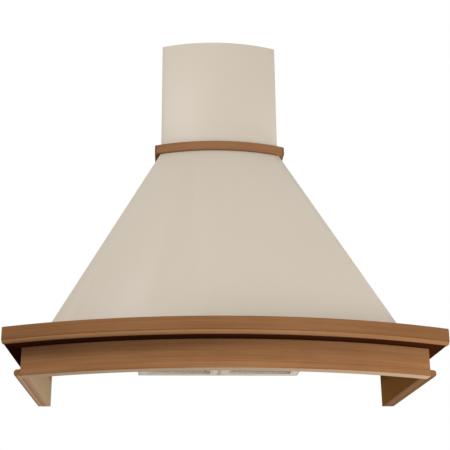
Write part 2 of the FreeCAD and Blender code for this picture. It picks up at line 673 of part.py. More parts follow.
def scroll_outline(sketch, wall, top):
    """The scroll's profile, its wall's thickness outside the air space."""
    middle_back = "-" + FAN_BACK
    tongue = "(scroll_tongue + %s)" % wall
    second = "(scroll_tongue + scroll_grow + %s)" % wall
    third = "(scroll_tongue + 2*scroll_grow + %s)" % wall
    front = "-(%s + %s)" % (THROAT_FRONT, wall)
    back = "-(throat_back - %s)" % wall
    foot = "fan_level + sqrt(%s^2 - (%s - (%s))^2)" % (tongue, middle_back, front)
    shifted = "(%s + scroll_grow)" % middle_back
    places = [(back, top), (front, top), (front, foot), (middle_back + " - " + tongue, "fan_level"),
              (shifted, "fan_level - %s" % second), (back, "fan_level + scroll_grow")]
    arcs = {2: (tongue, middle_back, "fan_level"), 3: (second, shifted, "fan_level"),
            4: (third, shifted, "fan_level + scroll_grow")}
    outline(sketch, places, arcs=arcs)


def scroll():
    made = body("scroll_housing")
    form = sketch_on(made, "scroll_form", "YZ_Plane", "-scroll_half")
    scroll_outline(form, "scroll_wall", "throat_level")
    grow(made, form, "2*scroll_half")
    air = sketch_on(made, "scroll_air", "YZ_Plane", "scroll_half - scroll_wall")
    scroll_outline(air, "0", "throat_level + overrun")
    cut(made, air, "2*(scroll_half - scroll_wall)")
    inlets = sketch_on(made, "scroll_inlets", "YZ_Plane", "scroll_half + overrun")
    circle(inlets, "-" + FAN_BACK, "fan_level", "inlet_radius")
    cut(made, inlets, "2*(scroll_half + overrun)")
    ears = sketch_on(made, "scroll_ears", "XZ_Plane", "throat_back - scroll_wall")
    for level in ("ear_low", "ear_high"):
        box_outline(ears, "-(scroll_half + ear_wide)", "scroll_half + ear_wide", level, level + " + ear_tall")
    grow(made, ears, "scroll_wall")
    holes = sketch_on(made, "ear_holes", "XZ_Plane", "throat_back - scroll_wall - overrun")
    for across, level in bush_places():
        circle(holes, across, level, "screw_radius + gap")
    cut(made, holes, "scroll_wall + 2*overrun", reverse=True)


def bush_places():
    return [(side + "(scroll_half + ear_wide/2)", level + " + ear_tall/2")
            for side in ("-", "") for level in ("ear_low", "ear_high")]


def blower_mounting():
    rails, bushes = [], []
    web = "-(sheet + rail_deep)"
    for hand, side in (("left", "-"), ("right", "")):
        ends = sorted([side + "scroll_half", side + "(scroll_half + ear_wide)"], key=size)
        outer = block("rail_outer_" + hand, ends[0], ends[1], web, "-sheet", "rail_low", "rail_high")
        inner = block("rail_inner_" + hand, ends[0] + " + rail_sheet", ends[1] + " - rail_sheet",
                      web + " + rail_sheet", "overrun", "rail_low - overrun", "rail_high + overrun")
        tools = [inner]
        for i, (across, level) in enumerate(bush_places()):
            if across.startswith("-") == (side == "-"):
                tools.append(rod("rail_hole_%s_%d" % (hand, i), (across, web + " - overrun", level),
                                 TOWARDS_WALL, "screw_radius + gap", "2*overrun + rail_deep"))
        rails.append(cut_from("rail_" + hand, outer, tools))
    for i, (across, level) in enumerate(bush_places()):
        front = "-(throat_back - scroll_wall)"
        long = "%s - (%s)" % (web, front)
        plug = rod("bush_%d" % i, (across, front, level), TOWARDS_WALL, "bush_radius", long)
        hole = rod("bush_hole_%d" % i, (across, front + " - overrun", level), TOWARDS_WALL,
                   "screw_radius + gap", "2*overrun + " + long)
        bushes.append(cut_from("bush_cut_%d" % i, plug, [hole]))
    grouped("blower_rails", rails)
    grouped("blower_bushes", bushes)


def fan_wheel():
    axis = ("-" + FAN_BACK, "fan_level")
    pieces = [rod("fan_disc_solid", ("-fan_disc/2",) + axis, ALONG_X, "fan_radius", "fan_disc"),
              rod("fan_hub_solid", ("-fan_hub_long/2",) + axis, ALONG_X, "fan_hub", "fan_hub_long")]
    for name, start in (("left", "-fan_half"), ("right", "fan_half - fan_end")):
        hoop = rod("fan_hoop_" + name, (start,) + axis, ALONG_X, "fan_radius", "fan_end")
        inside = rod("fan_hoop_hole_" + name, (start + " - overrun",) + axis, ALONG_X,
                     "fan_radius - fan_end_deep", "fan_end + 2*overrun")
        pieces.append(cut_from("fan_end_" + name, hoop, [inside]))
    for i in range(FAN_BLADES):
        turned = FULL_TURN * i / FAN_BLADES
        blade = doc.addObject("Part::Box", "fan_blade_%d" % i)
        blade.setExpression("Length", link("2*fan_half"))
        blade.setExpression("Width", link("fan_blade"))
        blade.setExpression("Height", link("fan_blade_deep"))
        tip = "(fan_radius - fan_blade_in - fan_blade)"
        lean = "%g + fan_tilt" % turned
        blade.Placement = Placement(Vector(0, 0, 0), Rotation(Vector(1, 0, 0), turned))
        blade.setExpression("Placement.Rotation.Angle", link(lean))
        blade.setExpression("Placement.Base.x", link("-fan_half"))
        root = "%s*cos(%g) - fan_blade_deep*cos(%s)" % (tip, turned, lean)
        side = "-%s*sin(%g) + fan_blade_deep*sin(%s)" % (tip, turned, lean)
        blade.setExpression("Placement.Base.y", link("-%s + (%s)" % (FAN_BACK, side)))
        blade.setExpression("Placement.Base.z", link("fan_level + (%s)" % root))
        pieces.append(blade)
    wheel = fused("fan_solid", pieces)
    bore = rod("fan_bore", ("-(fan_hub_long/2 + overrun)",) + axis, ALONG_X,
               "shaft_radius + shaft_gap", "fan_hub_long + 2*overrun")
    cut_from("fan_wheel", wheel, [bore])
    grouped("motor_shaft", [rod(
        "shaft_rod", ("-shaft_start",) + axis, ALONG_X, "shaft_radius", "shaft_long")])


def motor():
    axis = ("-" + FAN_BACK, "fan_level")
    can = rod("motor_can", ("motor_start",) + axis, ALONG_X, "motor_radius", "motor_long - motor_end_long")
    end = rod("motor_end", ("motor_start + motor_long - motor_end_long",) + axis, ALONG_X,
              "motor_end_radius", "motor_end_long")
    stub = rod("motor_stub", ("motor_start + motor_long",) + axis, ALONG_X, "spider_hub",
               "scroll_half - motor_start - motor_long")
    solid_motor = fused("motor_solid", [can, end, stub])
    bore = rod("motor_bore", ("motor_start - overrun",) + axis, ALONG_X, "shaft_radius + shaft_gap",
               "shaft_long - shaft_start - motor_start + 2*overrun")
    cut_from("motor", solid_motor, [bore])
    hub = rod("spider_hub_disc", ("scroll_half",) + axis, ALONG_X, "spider_hub", "spider_thick")
    ring = rod("spider_ring_disc", ("scroll_half",) + axis, ALONG_X, "spider_ring", "spider_thick")
    hole = rod("spider_ring_hole", ("scroll_half - overrun",) + axis, ALONG_X, "spider_bore",
               "spider_thick + 2*overrun")
    pieces = [hub, cut_from("spider_hoop", ring, [hole])]
    for name, along, up in (("upright", "spider_arm/2", "spider_bore + gap"),
                            ("level", "spider_bore + gap", "spider_arm/2")):
        pieces.append(block("spider_" + name, "scroll_half", "scroll_half + spider_thick",
                            "-%s - (%s)" % (FAN_BACK, along), "-%s + %s" % (FAN_BACK, along),
                            "fan_level - (%s)" % up, "fan_level + %s" % up))
    fused("motor_spider", pieces)


# Outlet spigot with two non-return flaps on one rod

FLAP_LEVEL = "(throat_level + spigot_plate + flap_rise)"
KNUCKLE = "(rod_radius + rod_gap + knuckle_wall)"
FLAP_LOW = "(%s - %s)" % (FLAP_LEVEL, KNUCKLE)


def spigot():
    middle_back = "-" + DUCT_BACK
    base = block("spigot_base", "-scroll_half", "scroll_half", "-(%s + scroll_wall)" % THROAT_FRONT,
                 "-(throat_back - scroll_wall)", "throat_level", "throat_level + spigot_plate")
    tube = rod("spigot_tube", ("0", middle_back, "throat_level"), UPRIGHT, "spigot_radius",
               "spigot_plate + spigot_tall")
    whole = fused("spigot_solid", [base, tube])
    inside = "(spigot_radius - spigot_wall)"
    low = rod("spigot_low_bore", ("0", middle_back, "throat_level - overrun"), UPRIGHT,
              inside + " - ledge_wide", "spigot_tall + 3*overrun")
    upper = rod("spigot_bore", ("0", middle_back, FLAP_LOW + " - gap"), UPRIGHT, inside,
                "spigot_tall + overrun")
    under = rod("spigot_under_bore", ("0", middle_back, "throat_level - overrun"), UPRIGHT, inside,
                "%s - gap - ledge_thick - throat_level + overrun" % FLAP_LOW)
    hole = rod("spigot_rod_hole", ("-(spigot_radius + overrun)", middle_back, FLAP_LEVEL), ALONG_X,
               "rod_radius + rod_gap", "2*(spigot_radius + overrun)")
    cut_from("outlet_spigot", whole, [low, upper, under, hole])
    grouped("flap_rod", [rod("flap_rod_solid", ("-spigot_radius", middle_back, FLAP_LEVEL), ALONG_X,
                             "rod_radius", "2*spigot_radius")])


def flap(name, sign, starts):
    """A half-round flap on the side that sign gives, with a knuckle at each start."""
    middle_back = "-" + DUCT_BACK
    reach = "(spigot_radius - spigot_wall - flap_gap)"
    disc = rod(name + "_disc", ("0", middle_back, FLAP_LOW), UPRIGHT, reach, "flap_thick")
    clear = "(%s + knuckle_gap)" % KNUCKLE
    away = [middle_back + " - overrun - " + reach, middle_back + " + " + clear]
    if sign == "-":
        away = [middle_back + " - " + clear, middle_back + " + overrun + " + reach]
    keep = block(name + "_cut", "-(spigot_radius)", "spigot_radius", away[0], away[1],
                 FLAP_LOW + " - overrun", FLAP_LOW + " + overrun")
    pieces = [cut_from(name + "_half", disc, [keep])]
    for i, start in enumerate(starts):
        pieces.append(rod("%s_knuckle_%d" % (name, i), (start, middle_back, FLAP_LEVEL), ALONG_X,
                          KNUCKLE, "knuckle_long"))
        ends = [middle_back, "%s %s (%s + overrun)" % (middle_back, sign, clear)]
        ends = sorted(ends, key=size)
        pieces.append(block("%s_tab_%d" % (name, i), start, start + " + knuckle_long", ends[0], ends[1],
                            FLAP_LOW, FLAP_LOW + " + flap_thick"))
    bore = rod(name + "_bore", ("-spigot_radius", middle_back, FLAP_LEVEL), ALONG_X,
               "rod_radius + rod_gap", "2*spigot_radius")
    cut_from(name, fused(name + "_solid", pieces), [bore])


def flaps():
    pitch = "(knuckle_long + knuckle_gap)"
    flap("flap_front", "-", ["-2*%s - knuckle_gap" % pitch, pitch + " - knuckle_long - knuckle_gap"])
    flap("flap_back", "+", ["-%s" % pitch, pitch])


# Lamps


def lamps():
    under = "(panel_level - glass_thick - bezel_lip_thick)"
    top = "panel_level + cup_tall"
    holders, bulbs = [], []
    for hand, side in (("left", "-"), ("right", "")):
        spot = (side + "lamp_side", "-lamp_back")
        ring = rod("bezel_disc_" + hand, spot + (under,), UPRIGHT, "bezel_radius",
                   "glass_thick + bezel_lip_thick")
        seat = rod("bezel_seat_" + hand, spot + (under + " + bezel_lip_thick",), UPRIGHT,
                   "glass_radius + gap", "glass_thick + overrun")
        eye = rod("bezel_eye_" + hand, spot + (under + " - overrun",), UPRIGHT,
                  "lamp_radius - bezel_lip", "2*overrun")
        cut_from("lamp_bezel_" + hand, ring, [seat, eye])
        lens = rod("glass_disc_" + hand, spot + (under + " + bezel_lip_thick",), UPRIGHT,
                   "glass_radius", "glass_thick")
        grouped("lamp_glass_" + hand, [lens])
        cup = rod("cup_solid_" + hand, spot + ("panel_level",), UPRIGHT, "lamp_radius - gap", "cup_tall")
        hollow = rod("cup_hollow_" + hand, spot + ("panel_level - overrun",), UPRIGHT,
                     "lamp_radius - gap - cup_wall", "cup_tall - cup_wall + overrun")
        cut_from("lamp_cup_" + hand, cup, [hollow])
        base = "%s - cup_wall - holder_long" % top
        holders.append(rod("holder_" + hand, spot + (base,), UPRIGHT, "holder_radius", "holder_long"))
        tube = rod("bulb_tube_" + hand, spot + (base + " - bulb_long",), UPRIGHT, "bulb_radius", "bulb_long")
        dome = solid("Sphere", "bulb_dome_" + hand, spot + (base + " - bulb_long",), Radius="bulb_radius")
        bulbs.append(fused("bulb_" + hand, [tube, dome]))
    grouped("lamp_holders", holders)
    grouped("lamp_bulbs", bulbs)


# Push buttons in the switch plate


def switches():
    low = "(panel_level - switch_thick)"
    face = block("switch_face", "-switch_half", "switch_half", "-(switch_back + switch_deep/2)",
                 "-(switch_back - switch_deep/2)", low, "panel_level")
    windows = []
    for i in range(BUTTONS):
        spot = "button_pitch*%g" % (i - (BUTTONS - 1) / 2)
        half = "(button_wide/2 + button_gap)"
        deep = "(button_deep/2 + button_gap)"
        windows.append(block("switch_window_%d" % i, "%s - %s" % (spot, half), "%s + %s" % (spot, half),
                             "-(switch_back + %s)" % deep, "-(switch_back - %s)" % deep,
                             low + " - overrun", "panel_level + overrun"))
        stem = block("button_stem_%d" % i, spot + " - button_wide/2", spot + " + button_wide/2",
                     "-(switch_back + button_deep/2)", "-(switch_back - button_deep/2)",
                     low + " - button_out", "panel_level + button_gap + button_lip_thick")
        lip = block("button_lip_%d" % i, spot + " - button_wide/2 - button_lip",
                    spot + " + button_wide/2 + button_lip", "-(switch_back + button_deep/2 + button_lip)",
                    "-(switch_back - button_deep/2 - button_lip)", "panel_level + button_gap",
                    "panel_level + button_gap + button_lip_thick")
        fused("button_%d" % (i + 1), [stem, lip])
    cut_from("switch_plate", face, windows)
    half = "(switch_half - switch_edge - gap)"
    deep = "(switch_deep/2 - switch_edge - gap)"
    outer = block("switch_box_solid", "-" + half, half, "-(switch_back + %s)" % deep,
                  "-(switch_back - %s)" % deep, "panel_level", "panel_level + switch_tall")
    inner = block("switch_box_room", "-(%s - switch_wall)" % half, "%s - switch_wall" % half,
                  "-(switch_back + %s - switch_wall)" % deep, "-(switch_back - %s + switch_wall)" % deep,
                  "panel_level - overrun", "panel_level + switch_tall - switch_wall")
    cut_from("switch_box", outer, [inner])


# Terminal box, cable gland and capacitor on the back plate


def electrics():
    left = "box_side - box_wide/2"
    right = "box_side + box_wide/2"
    front = "-(sheet + box_deep)"
    top = "(box_level + box_tall)"
    box = block("terminal_solid", left, right, front, "-sheet", "box_level", top)
    room = block("terminal_room", left + " + box_wall", right + " - box_wall", front + " + box_wall",
                 "overrun", "box_level + box_wall", top + " - box_wall")
    cut_from("terminal_box", box, [room])
    tube = rod("gland_tube", ("box_side", "0", "inlet_level"), AWAY_FROM_WALL, "gland_radius", "gland_long")
    nut = rod("gland_nut_solid", ("box_side", "-sheet", "inlet_level"), AWAY_FROM_WALL, "gland_nut",
              "gland_nut_long")
    bore = rod("gland_hole", ("box_side", "overrun", "inlet_level"), AWAY_FROM_WALL, "gland_bore",
               "gland_long + 2*overrun")
    cut_from("cable_gland", fused("gland_solid", [tube, nut]), [bore])
    can = rod("capacitor_can", ("-cap_side", "-(sheet + cap_stand + cap_radius)", "cap_level"), UPRIGHT,
              "cap_radius", "cap_long")
    foot = block("capacitor_foot", "-cap_side - cap_foot/2", "-cap_side + cap_foot/2",
                 "-(sheet + cap_stand + cap_radius)", "-sheet",
                 "cap_level + cap_foot", "cap_level + cap_long - cap_foot")
    fused("capacitor", [can, foot])


# Dowels that join the apron to the cornice


def dowel_spots():
    """The board's name and the place of each dowel."""
    spots = []
    for hand, side in (("left", "-"), ("right", "")):
        for back in ("dowel_near", "dowel_far"):
            spots.append((hand, (side + "(apron_half - apron_side/2)", "-" + back)))
    for across in ("-dowel_span", "0", "dowel_span"):
        run = corner("bow_centre", "(apron_radius - apron_front/2)", "(%s)" % across)
        spots.append(("front", (across, run)))
    return spots


def dowels():
    pins = []
    deep = "dowel_long/2 + dowel_room"
    for name in ("left", "right", "front"):
        for part, upward in (("cornice_", True), ("apron_", False)):
            board = doc.getObjectsByLabel(part + name)[0]
            holes = sketch_on(board, "%s%s_dowel_holes" % (part, name))
            for hand, place in dowel_spots():
                if hand == name:
                    circle(holes, place[0], place[1], "dowel_radius + dowel_gap")
            cut(board, holes, deep, reverse=upward)
    for i, (hand, place) in enumerate(dowel_spots()):
        pins.append(rod("dowel_%d" % i, place + ("-dowel_long/2",), UPRIGHT, "dowel_radius", "dowel_long"))
    grouped("dowels", pins)


# Screws that hold the blower to its rails


def blower_screws():
    screws = []
    for i, (across, level) in enumerate(bush_places()):
        seat = (across, "-throat_back", level)
        shank = rod("screw_shank_%d" % i, seat, TOWARDS_WALL, "screw_radius", "screw_long")
        head = rod("screw_head_%d" % i, seat, AWAY_FROM_WALL, "screw_head", "screw_head_tall")
        screws.append(fused("screw_%d" % i, [shank, head]))
    grouped("screws", screws)


# Building, checking and writing

STEPS = (cornice, apron, neck_trim, canopy, back_plate, chimney, underside, filter_seat, filters,
         scroll, blower_mounting, fan_wheel, motor, spigot, flaps, lamps, switches, electrics,
         dowels, blower_screws)


def sub_parts():
    """Bodies and finished Part objects that no other object is built from."""
    kept = []
    for item in doc.Objects:
        if item.TypeId == "PartDesign::Body":
            kept.append(item)
        elif item.TypeId.startswith("Part::") and not item.InList:
            kept.append(item)
    return kept


def check():
    for item in doc.Objects:
        if "Invalid" in item.State or "Error" in item.State:
            raise ValueError("%s does not compute" % item.Label)
    for item in sub_parts():
        if item.Shape.isNull() or not item.Shape.isValid() or not item.Shape.Solids:
            raise ValueError("%s has no sound solid" % item.Label)


def written_form(shape):
    """A shape as written: one with ring-shaped faces goes out as free-form faces, which mesh closed."""
    if any(face.Surface.TypeId == "Part::GeomToroid" for face in shape.Faces):
        return shape.toNurbs()
    return shape


def main():
    for step in STEPS:
        step()
    for item in sub_parts():
        item.setExpression("Placement.Base.z", link("-rim_level"))
    doc.recompute()
    check()
    os.makedirs("parts", exist_ok=True)
    for item in sub_parts():
        written_form(item.Shape).exportStep("parts/%s.step" % item.Label)
    print("%d sub-parts written" % len(sub_parts()))


main()
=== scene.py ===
import json
import math

import bpy
from mathutils import Matrix, Vector


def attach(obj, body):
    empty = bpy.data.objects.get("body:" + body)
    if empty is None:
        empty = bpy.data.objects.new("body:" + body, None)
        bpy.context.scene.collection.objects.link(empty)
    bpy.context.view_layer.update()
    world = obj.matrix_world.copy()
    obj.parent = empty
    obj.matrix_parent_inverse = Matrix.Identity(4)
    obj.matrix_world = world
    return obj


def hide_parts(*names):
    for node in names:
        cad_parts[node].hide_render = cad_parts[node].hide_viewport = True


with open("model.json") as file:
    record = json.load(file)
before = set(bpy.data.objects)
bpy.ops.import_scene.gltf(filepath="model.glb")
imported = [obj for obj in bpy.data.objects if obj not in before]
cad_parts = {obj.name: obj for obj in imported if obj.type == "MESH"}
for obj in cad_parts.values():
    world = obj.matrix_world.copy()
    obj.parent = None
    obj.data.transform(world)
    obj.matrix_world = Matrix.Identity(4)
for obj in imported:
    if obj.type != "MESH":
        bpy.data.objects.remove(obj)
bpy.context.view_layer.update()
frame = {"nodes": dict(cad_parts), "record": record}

NODES = frame["nodes"]

# Sizes in metres. The centres that the boards' and the neck's bows turn round
BOW_CENTRE = Vector((0.0, 0.5505, 0.0))
NECK_CENTRE = Vector((0.0, 0.2, 0.0))

# Half widths and bow radii: canopy's foot, cornice, apron, neck and its trim
CANOPY_HALF, CANOPY_BOW = 0.3738, 0.9788
CORNICE_HALF, CORNICE_BOW = 0.450, 1.0625
APRON_HALF, APRON_BOW, APRON_INNER_BOW = 0.413, 1.022, 0.992
NECK_HALF, NECK_BOW = 0.1423, 0.3743
TRIM_HALF, TRIM_BOW = 0.157, 0.392

# Levels of the cornice's ovolo and fascia, of the apron, of its bead and of the neck's trim
CORNICE_LOW, OVOLO_TOP, CORNICE_HIGH = -0.027, -0.0182, 0.0085
APRON_LOW, BEAD_TALL = -0.084, 0.013
TRIM_LOW, TRIM_HIGH = 0.499, 0.522

# The ovolo's round, its set-backs from the fascia, and the bead's reach off the apron
OVOLO_ROUND, OVOLO_SET_BACK, OVOLO_SIDE_SET_BACK = 0.0072, 0.0007, 0.0025
FASCIA_EASE = 0.0016
BEAD_REACH = 0.0014

# The rebate over the apron's inner faces
REBATE_HALF, REBATE_BOW, REBATE_REAR_BOW = 0.395, 0.992, 0.85
REBATE_LOW, REBATE_TOP, REBATE_FRONT, REBATE_BACK = -0.04, 0.0, -0.3594, 0.05

# Where the cornice's side boards start, ahead of their mitre, and how far a bowed board runs past its cuts
SIDE_FRONT = -0.43
OVERRUN = 0.03

SMOOTH_ANGLE = math.radians(30)
NEAR = 1e-5


# Modelling helpers

def let_go():
    """Leaves edit mode and deselects everything."""
    if bpy.context.object and bpy.context.object.mode != "OBJECT":
        bpy.ops.object.mode_set(mode="OBJECT")
    bpy.ops.object.select_all(action="DESELECT")


def take(piece):
    """Selects one piece alone and makes it active."""
    let_go()
    piece.select_set(True)
    bpy.context.view_layer.objects.active = piece
    return piece


def settle(piece):
    """Puts the piece's place into its mesh, so that the object sits at the origin."""
    take(piece)
    bpy.ops.object.transform_apply(location=True, rotation=True, scale=True)
    return piece


def added(name):
    """Names the primitive just added and settles it."""
    piece = bpy.context.object
    piece.name = name
    piece.data.name = name
    return settle(piece)


def box_between(name, low, high):
    """A box from its lowest to its highest corner."""
    let_go()
    middle = [(a + b) / 2 for a, b in zip(low, high)]
    bpy.ops.mesh.primitive_cube_add(size=1, location=middle)
    bpy.context.object.scale = [b - a for a, b in zip(low, high)]
    return added(name)


def disc(name, at, radius, depth, axis="Z", sides=48):
    """A cylinder round its middle, along an axis."""
    let_go()
    turn = {"X": (0, math.pi / 2, 0), "Y": (math.pi / 2, 0, 0), "Z": (0, 0, 0)}[axis]
    bpy.ops.mesh.primitive_cylinder_add(
        vertices=sides, radius=radius, depth=depth, location=at, rotation=turn)
    return added(name)


def finish_with(piece, kind, **settings):
    """Adds a modifier and applies it."""
    take(piece)
    change = piece.modifiers.new(kind.title(), kind)
    for name, value in settings.items():
        setattr(change, name, value)
    bpy.ops.object.modifier_apply(modifier=change.name)
    return piece


def choose(piece, wanted, mode="FACE"):
    """Leaves the piece in edit mode with only the wanted faces, edges or points selected."""
    take(piece)
    bpy.ops.object.mode_set(mode="EDIT")
    bpy.ops.mesh.select_mode(type=mode)
    bpy.ops.mesh.select_all(action="DESELECT")
    bpy.ops.object.mode_set(mode="OBJECT")
    mesh = piece.data
    parts = {"FACE": mesh.polygons, "EDGE": mesh.edges, "VERT": mesh.vertices}[mode]
    for part in parts:
        if mode == "VERT":
            part.select = wanted(part.co)
        elif mode == "EDGE":
            part.select = wanted(*(mesh.vertices[i].co for i in part.vertices))
        else:
            part.select = wanted(part.center, part.normal)
    bpy.ops.object.mode_set(mode="EDIT")


def done(piece):
    """Leaves edit mode."""
    bpy.ops.object.mode_set(mode="OBJECT")
    return piece


def tidy(piece, angle=30):
    """Merges doubles, turns the faces outwards and shades the piece smooth up to an angle."""
    choose(piece, lambda centre, normal: True)
    bpy.ops.mesh.remove_doubles(threshold=1e-6)
    bpy.ops.mesh.normals_make_consistent(inside=False)
    done(piece)
    bpy.ops.object.shade_smooth_by_angle(angle=math.radians(angle))
    return piece


def softened(piece, width, segments=2, angle=30):
    """Rounds the sharp edges by a small width."""
    finish_with(piece, "BEVEL", width=width, segments=segments, limit_method="ANGLE",
                angle_limit=math.radians(angle), harden_normals=False)
    take(piece)
    bpy.ops.object.shade_smooth_by_angle(angle=math.radians(angle))
    return piece


def same_as(node, name, width=0.0, segments=2):
    """A piece with a CAD node's shape, its edges softened, that stands for the node."""
    piece = NODES[node].copy()
    piece.data = NODES[node].data.copy()
    piece.name = name
    piece.parent = None
    for key in list(piece.keys()):
        if key.startswith("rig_"):
            del piece[key]
    bpy.context.scene.collection.objects.link(piece)
    choose(piece, lambda centre, normal: True)
    bpy.ops.mesh.remove_doubles(threshold=1e-6)
    bpy.ops.mesh.dissolve_limited(angle_limit=math.radians(1.0))
    done(piece)
    if width:
        softened(piece, width, segments)
    else:
        bpy.ops.object.shade_smooth_by_angle(angle=SMOOTH_ANGLE)
    return piece


def put_on(piece, body, slot, material, *nodes):
    """Gives the piece its body and material, and hides the nodes it stands for. slot is not used."""
    piece.data.materials.clear()
    piece.data.materials.append(material)
    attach(piece, body)
    if nodes:
        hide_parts(*nodes)
    return piece


# Shader effects

def effect(name, inputs, outputs):
    """An empty node group with named sockets."""
    group = bpy.data.node_groups.new(name, "ShaderNodeTree")
    for label, kind, value in inputs:
        socket = group.interface.new_socket(label, in_out="INPUT", socket_type=kind)
        if value is not None:
            socket.default_value = value
    for label, kind in outputs:
        group.interface.new_socket(label, in_out="OUTPUT", socket_type=kind)
    start = group.nodes.new("NodeGroupInput")
    end = group.nodes.new("NodeGroupOutput")
    return group, start.outputs, end.inputs


def node(tree, kind, links=None, **settings):
    """A shader node. links gives socket names the values or sockets they take."""
    made = tree.nodes.new(kind)
    for name, value in settings.items():
        setattr(made, name, value)
    for name, value in (links or {}).items():
        socket = made.inputs[name]
        if isinstance(value, bpy.types.NodeSocket):
            tree.links.new(value, socket)
        else:
            socket.default_value = value
    return made


def maths(tree, operation, first, second=0.0, third=0.0, clamp=False):
    made = node(tree, "ShaderNodeMath", {0: first, 1: second, 2: third},
                operation=operation, use_clamp=clamp)
    return made.outputs[0]


def blend_colours(tree, factor, first, second, way="MIX"):
    made = node(tree, "ShaderNodeMix", data_type="RGBA", blend_type=way)
    for index, value in ((0, factor), (6, first), (7, second)):
        if isinstance(value, bpy.types.NodeSocket):
            tree.links.new(value, made.inputs[index])
        else:
            made.inputs[index].default_value = value
    return made.outputs[2]


def noise(tree, vector, scale, detail=3.0, roughness=0.5):
    made = node(tree, "ShaderNodeTexNoise",
                {"Vector": vector, "Scale": scale, "Detail": detail, "Roughness": roughness})
    return made.outputs["Fac"]


def ramp(tree, factor, low, high):
    """Stretches a value between two limits to the range 0 to 1."""
    made = node(tree, "ShaderNodeMapRange", {"Value": factor, "From Min": low, "From Max": high},
                interpolation_type="SMOOTHSTEP")
    return made.outputs["Result"]


def make_bow_run():
    """Follows a bowed board: length along the bow, distance from its centre, height."""
    group, given, result = effect(
        "Bow run", [("Vector", "NodeSocketVector", None), ("Centre", "NodeSocketVector", None)],
        [("Vector", "NodeSocketVector")])
    from_centre = node(group, "ShaderNodeVectorMath", {0: given["Vector"], 1: given["Centre"]},
                       operation="SUBTRACT")
    apart = node(group, "ShaderNodeSeparateXYZ", {0: from_centre.outputs[0]})
    away = maths(group, "MULTIPLY", apart.outputs["Y"], -1.0)
    angle = maths(group, "ARCTAN2", apart.outputs["X"], away)
    square = maths(group, "MULTIPLY", apart.outputs["X"], apart.outputs["X"])
    square = maths(group, "MULTIPLY_ADD", away, away, square)
    radius = maths(group, "SQRT", square)
    along = maths(group, "MULTIPLY", angle, radius)
    joined = node(group, "ShaderNodeCombineXYZ", {0: along, 1: radius, 2: apart.outputs["Z"]})
    group.links.new(joined.outputs[0], result["Vector"])
    return group


def make_timber_grain():
    """Long grain with darker growth lines and short pores along the first axis."""
    group, given, result = effect(
        "Timber grain",
        [("Vector", "NodeSocketVector", None), ("Pale", "NodeSocketColor", (0.3, 0.15, 0.06, 1)),
         ("Deep", "NodeSocketColor", (0.2, 0.1, 0.04, 1)), ("Figure", "NodeSocketFloat", 0.5)],
        [("Color", "NodeSocketColor"), ("Roughness", "NodeSocketFloat"), ("Height", "NodeSocketFloat")])
    long_way = node(group, "ShaderNodeMapping", {"Vector": given["Vector"], "Scale": (1.2, 14.0, 30.0)})
    drift = noise(group, long_way.outputs[0], 2.2, 3.0, 0.55)
    rings = node(group, "ShaderNodeMapping", {"Vector": given["Vector"], "Scale": (3.0, 90.0, 160.0)})
    lines = noise(group, rings.outputs[0], 1.6, 4.0, 0.6)
    pore_run = node(group, "ShaderNodeMapping", {"Vector": given["Vector"], "Scale": (60.0, 900.0, 1500.0)})
    pores = ramp(group, noise(group, pore_run.outputs[0], 1.0, 2.0, 0.5), 0.58, 0.72)
    patches = noise(group, given["Vector"], 7.0, 2.0, 0.5)
    broad = maths(group, "MULTIPLY", ramp(group, drift, 0.3, 0.7), 0.55)
    tone = maths(group, "MULTIPLY_ADD", ramp(group, lines, 0.35, 0.68), 0.45, broad)
    tone = maths(group, "MULTIPLY", tone, given["Figure"])
    tone = maths(group, "MULTIPLY_ADD", ramp(group, patches, 0.35, 0.7), 0.18, tone, clamp=True)
    colour = blend_colours(group, tone, given["Pale"], given["Deep"])
    colour = blend_colours(group, maths(group, "MULTIPLY", pores, 0.22), colour, (0.05, 0.02, 0.008, 1))
    group.links.new(colour, result["Color"])
    group.links.new(maths(group, "MULTIPLY_ADD", tone, 0.08, 0.36), result["Roughness"])
    height = maths(group, "MULTIPLY_ADD", pores, -0.6, maths(group, "MULTIPLY", lines, 0.35))
    group.links.new(height, result["Height"])
    return group


def make_edge_mask():
    """1 on the outer edges of a piece, 0 on its flats, broken up a little."""
    group, given, result = effect(
        "Edge mask", [("Vector", "NodeSocketVector", None), ("Width", "NodeSocketFloat", 0.001),
                      ("Breakup", "NodeSocketFloat", 0.5)], [("Mask", "NodeSocketFloat")])
    rounded = node(group, "ShaderNodeBevel", {"Radius": given["Width"]}, samples=4)
    flat = node(group, "ShaderNodeNewGeometry")
    turn = node(group, "ShaderNodeVectorMath", {0: rounded.outputs[0], 1: flat.outputs["Normal"]},
                operation="DOT_PRODUCT")
    mask = ramp(group, turn.outputs["Value"], 0.995, 0.86)
    broken = ramp(group, noise(group, given["Vector"], 120.0, 3.0, 0.6), 0.3, 0.62)
    kept = maths(group, "MULTIPLY_ADD", maths(group, "SUBTRACT", broken, 1.0), given["Breakup"], 1.0)
    group.links.new(maths(group, "MULTIPLY", mask, kept, clamp=True), result["Mask"])
    return group


def make_fine_skin():
    """Fine orange peel of paint or moulded plastic, with a slow change of tone."""
    group, given, result = effect(
        "Fine skin", [("Vector", "NodeSocketVector", None), ("Scale", "NodeSocketFloat", 900.0)],
        [("Tone", "NodeSocketFloat"), ("Height", "NodeSocketFloat")])
    group.links.new(noise(group, given["Vector"], 5.0, 3.0, 0.5), result["Tone"])
    group.links.new(noise(group, given["Vector"], given["Scale"], 2.0, 0.5), result["Height"])
    return group


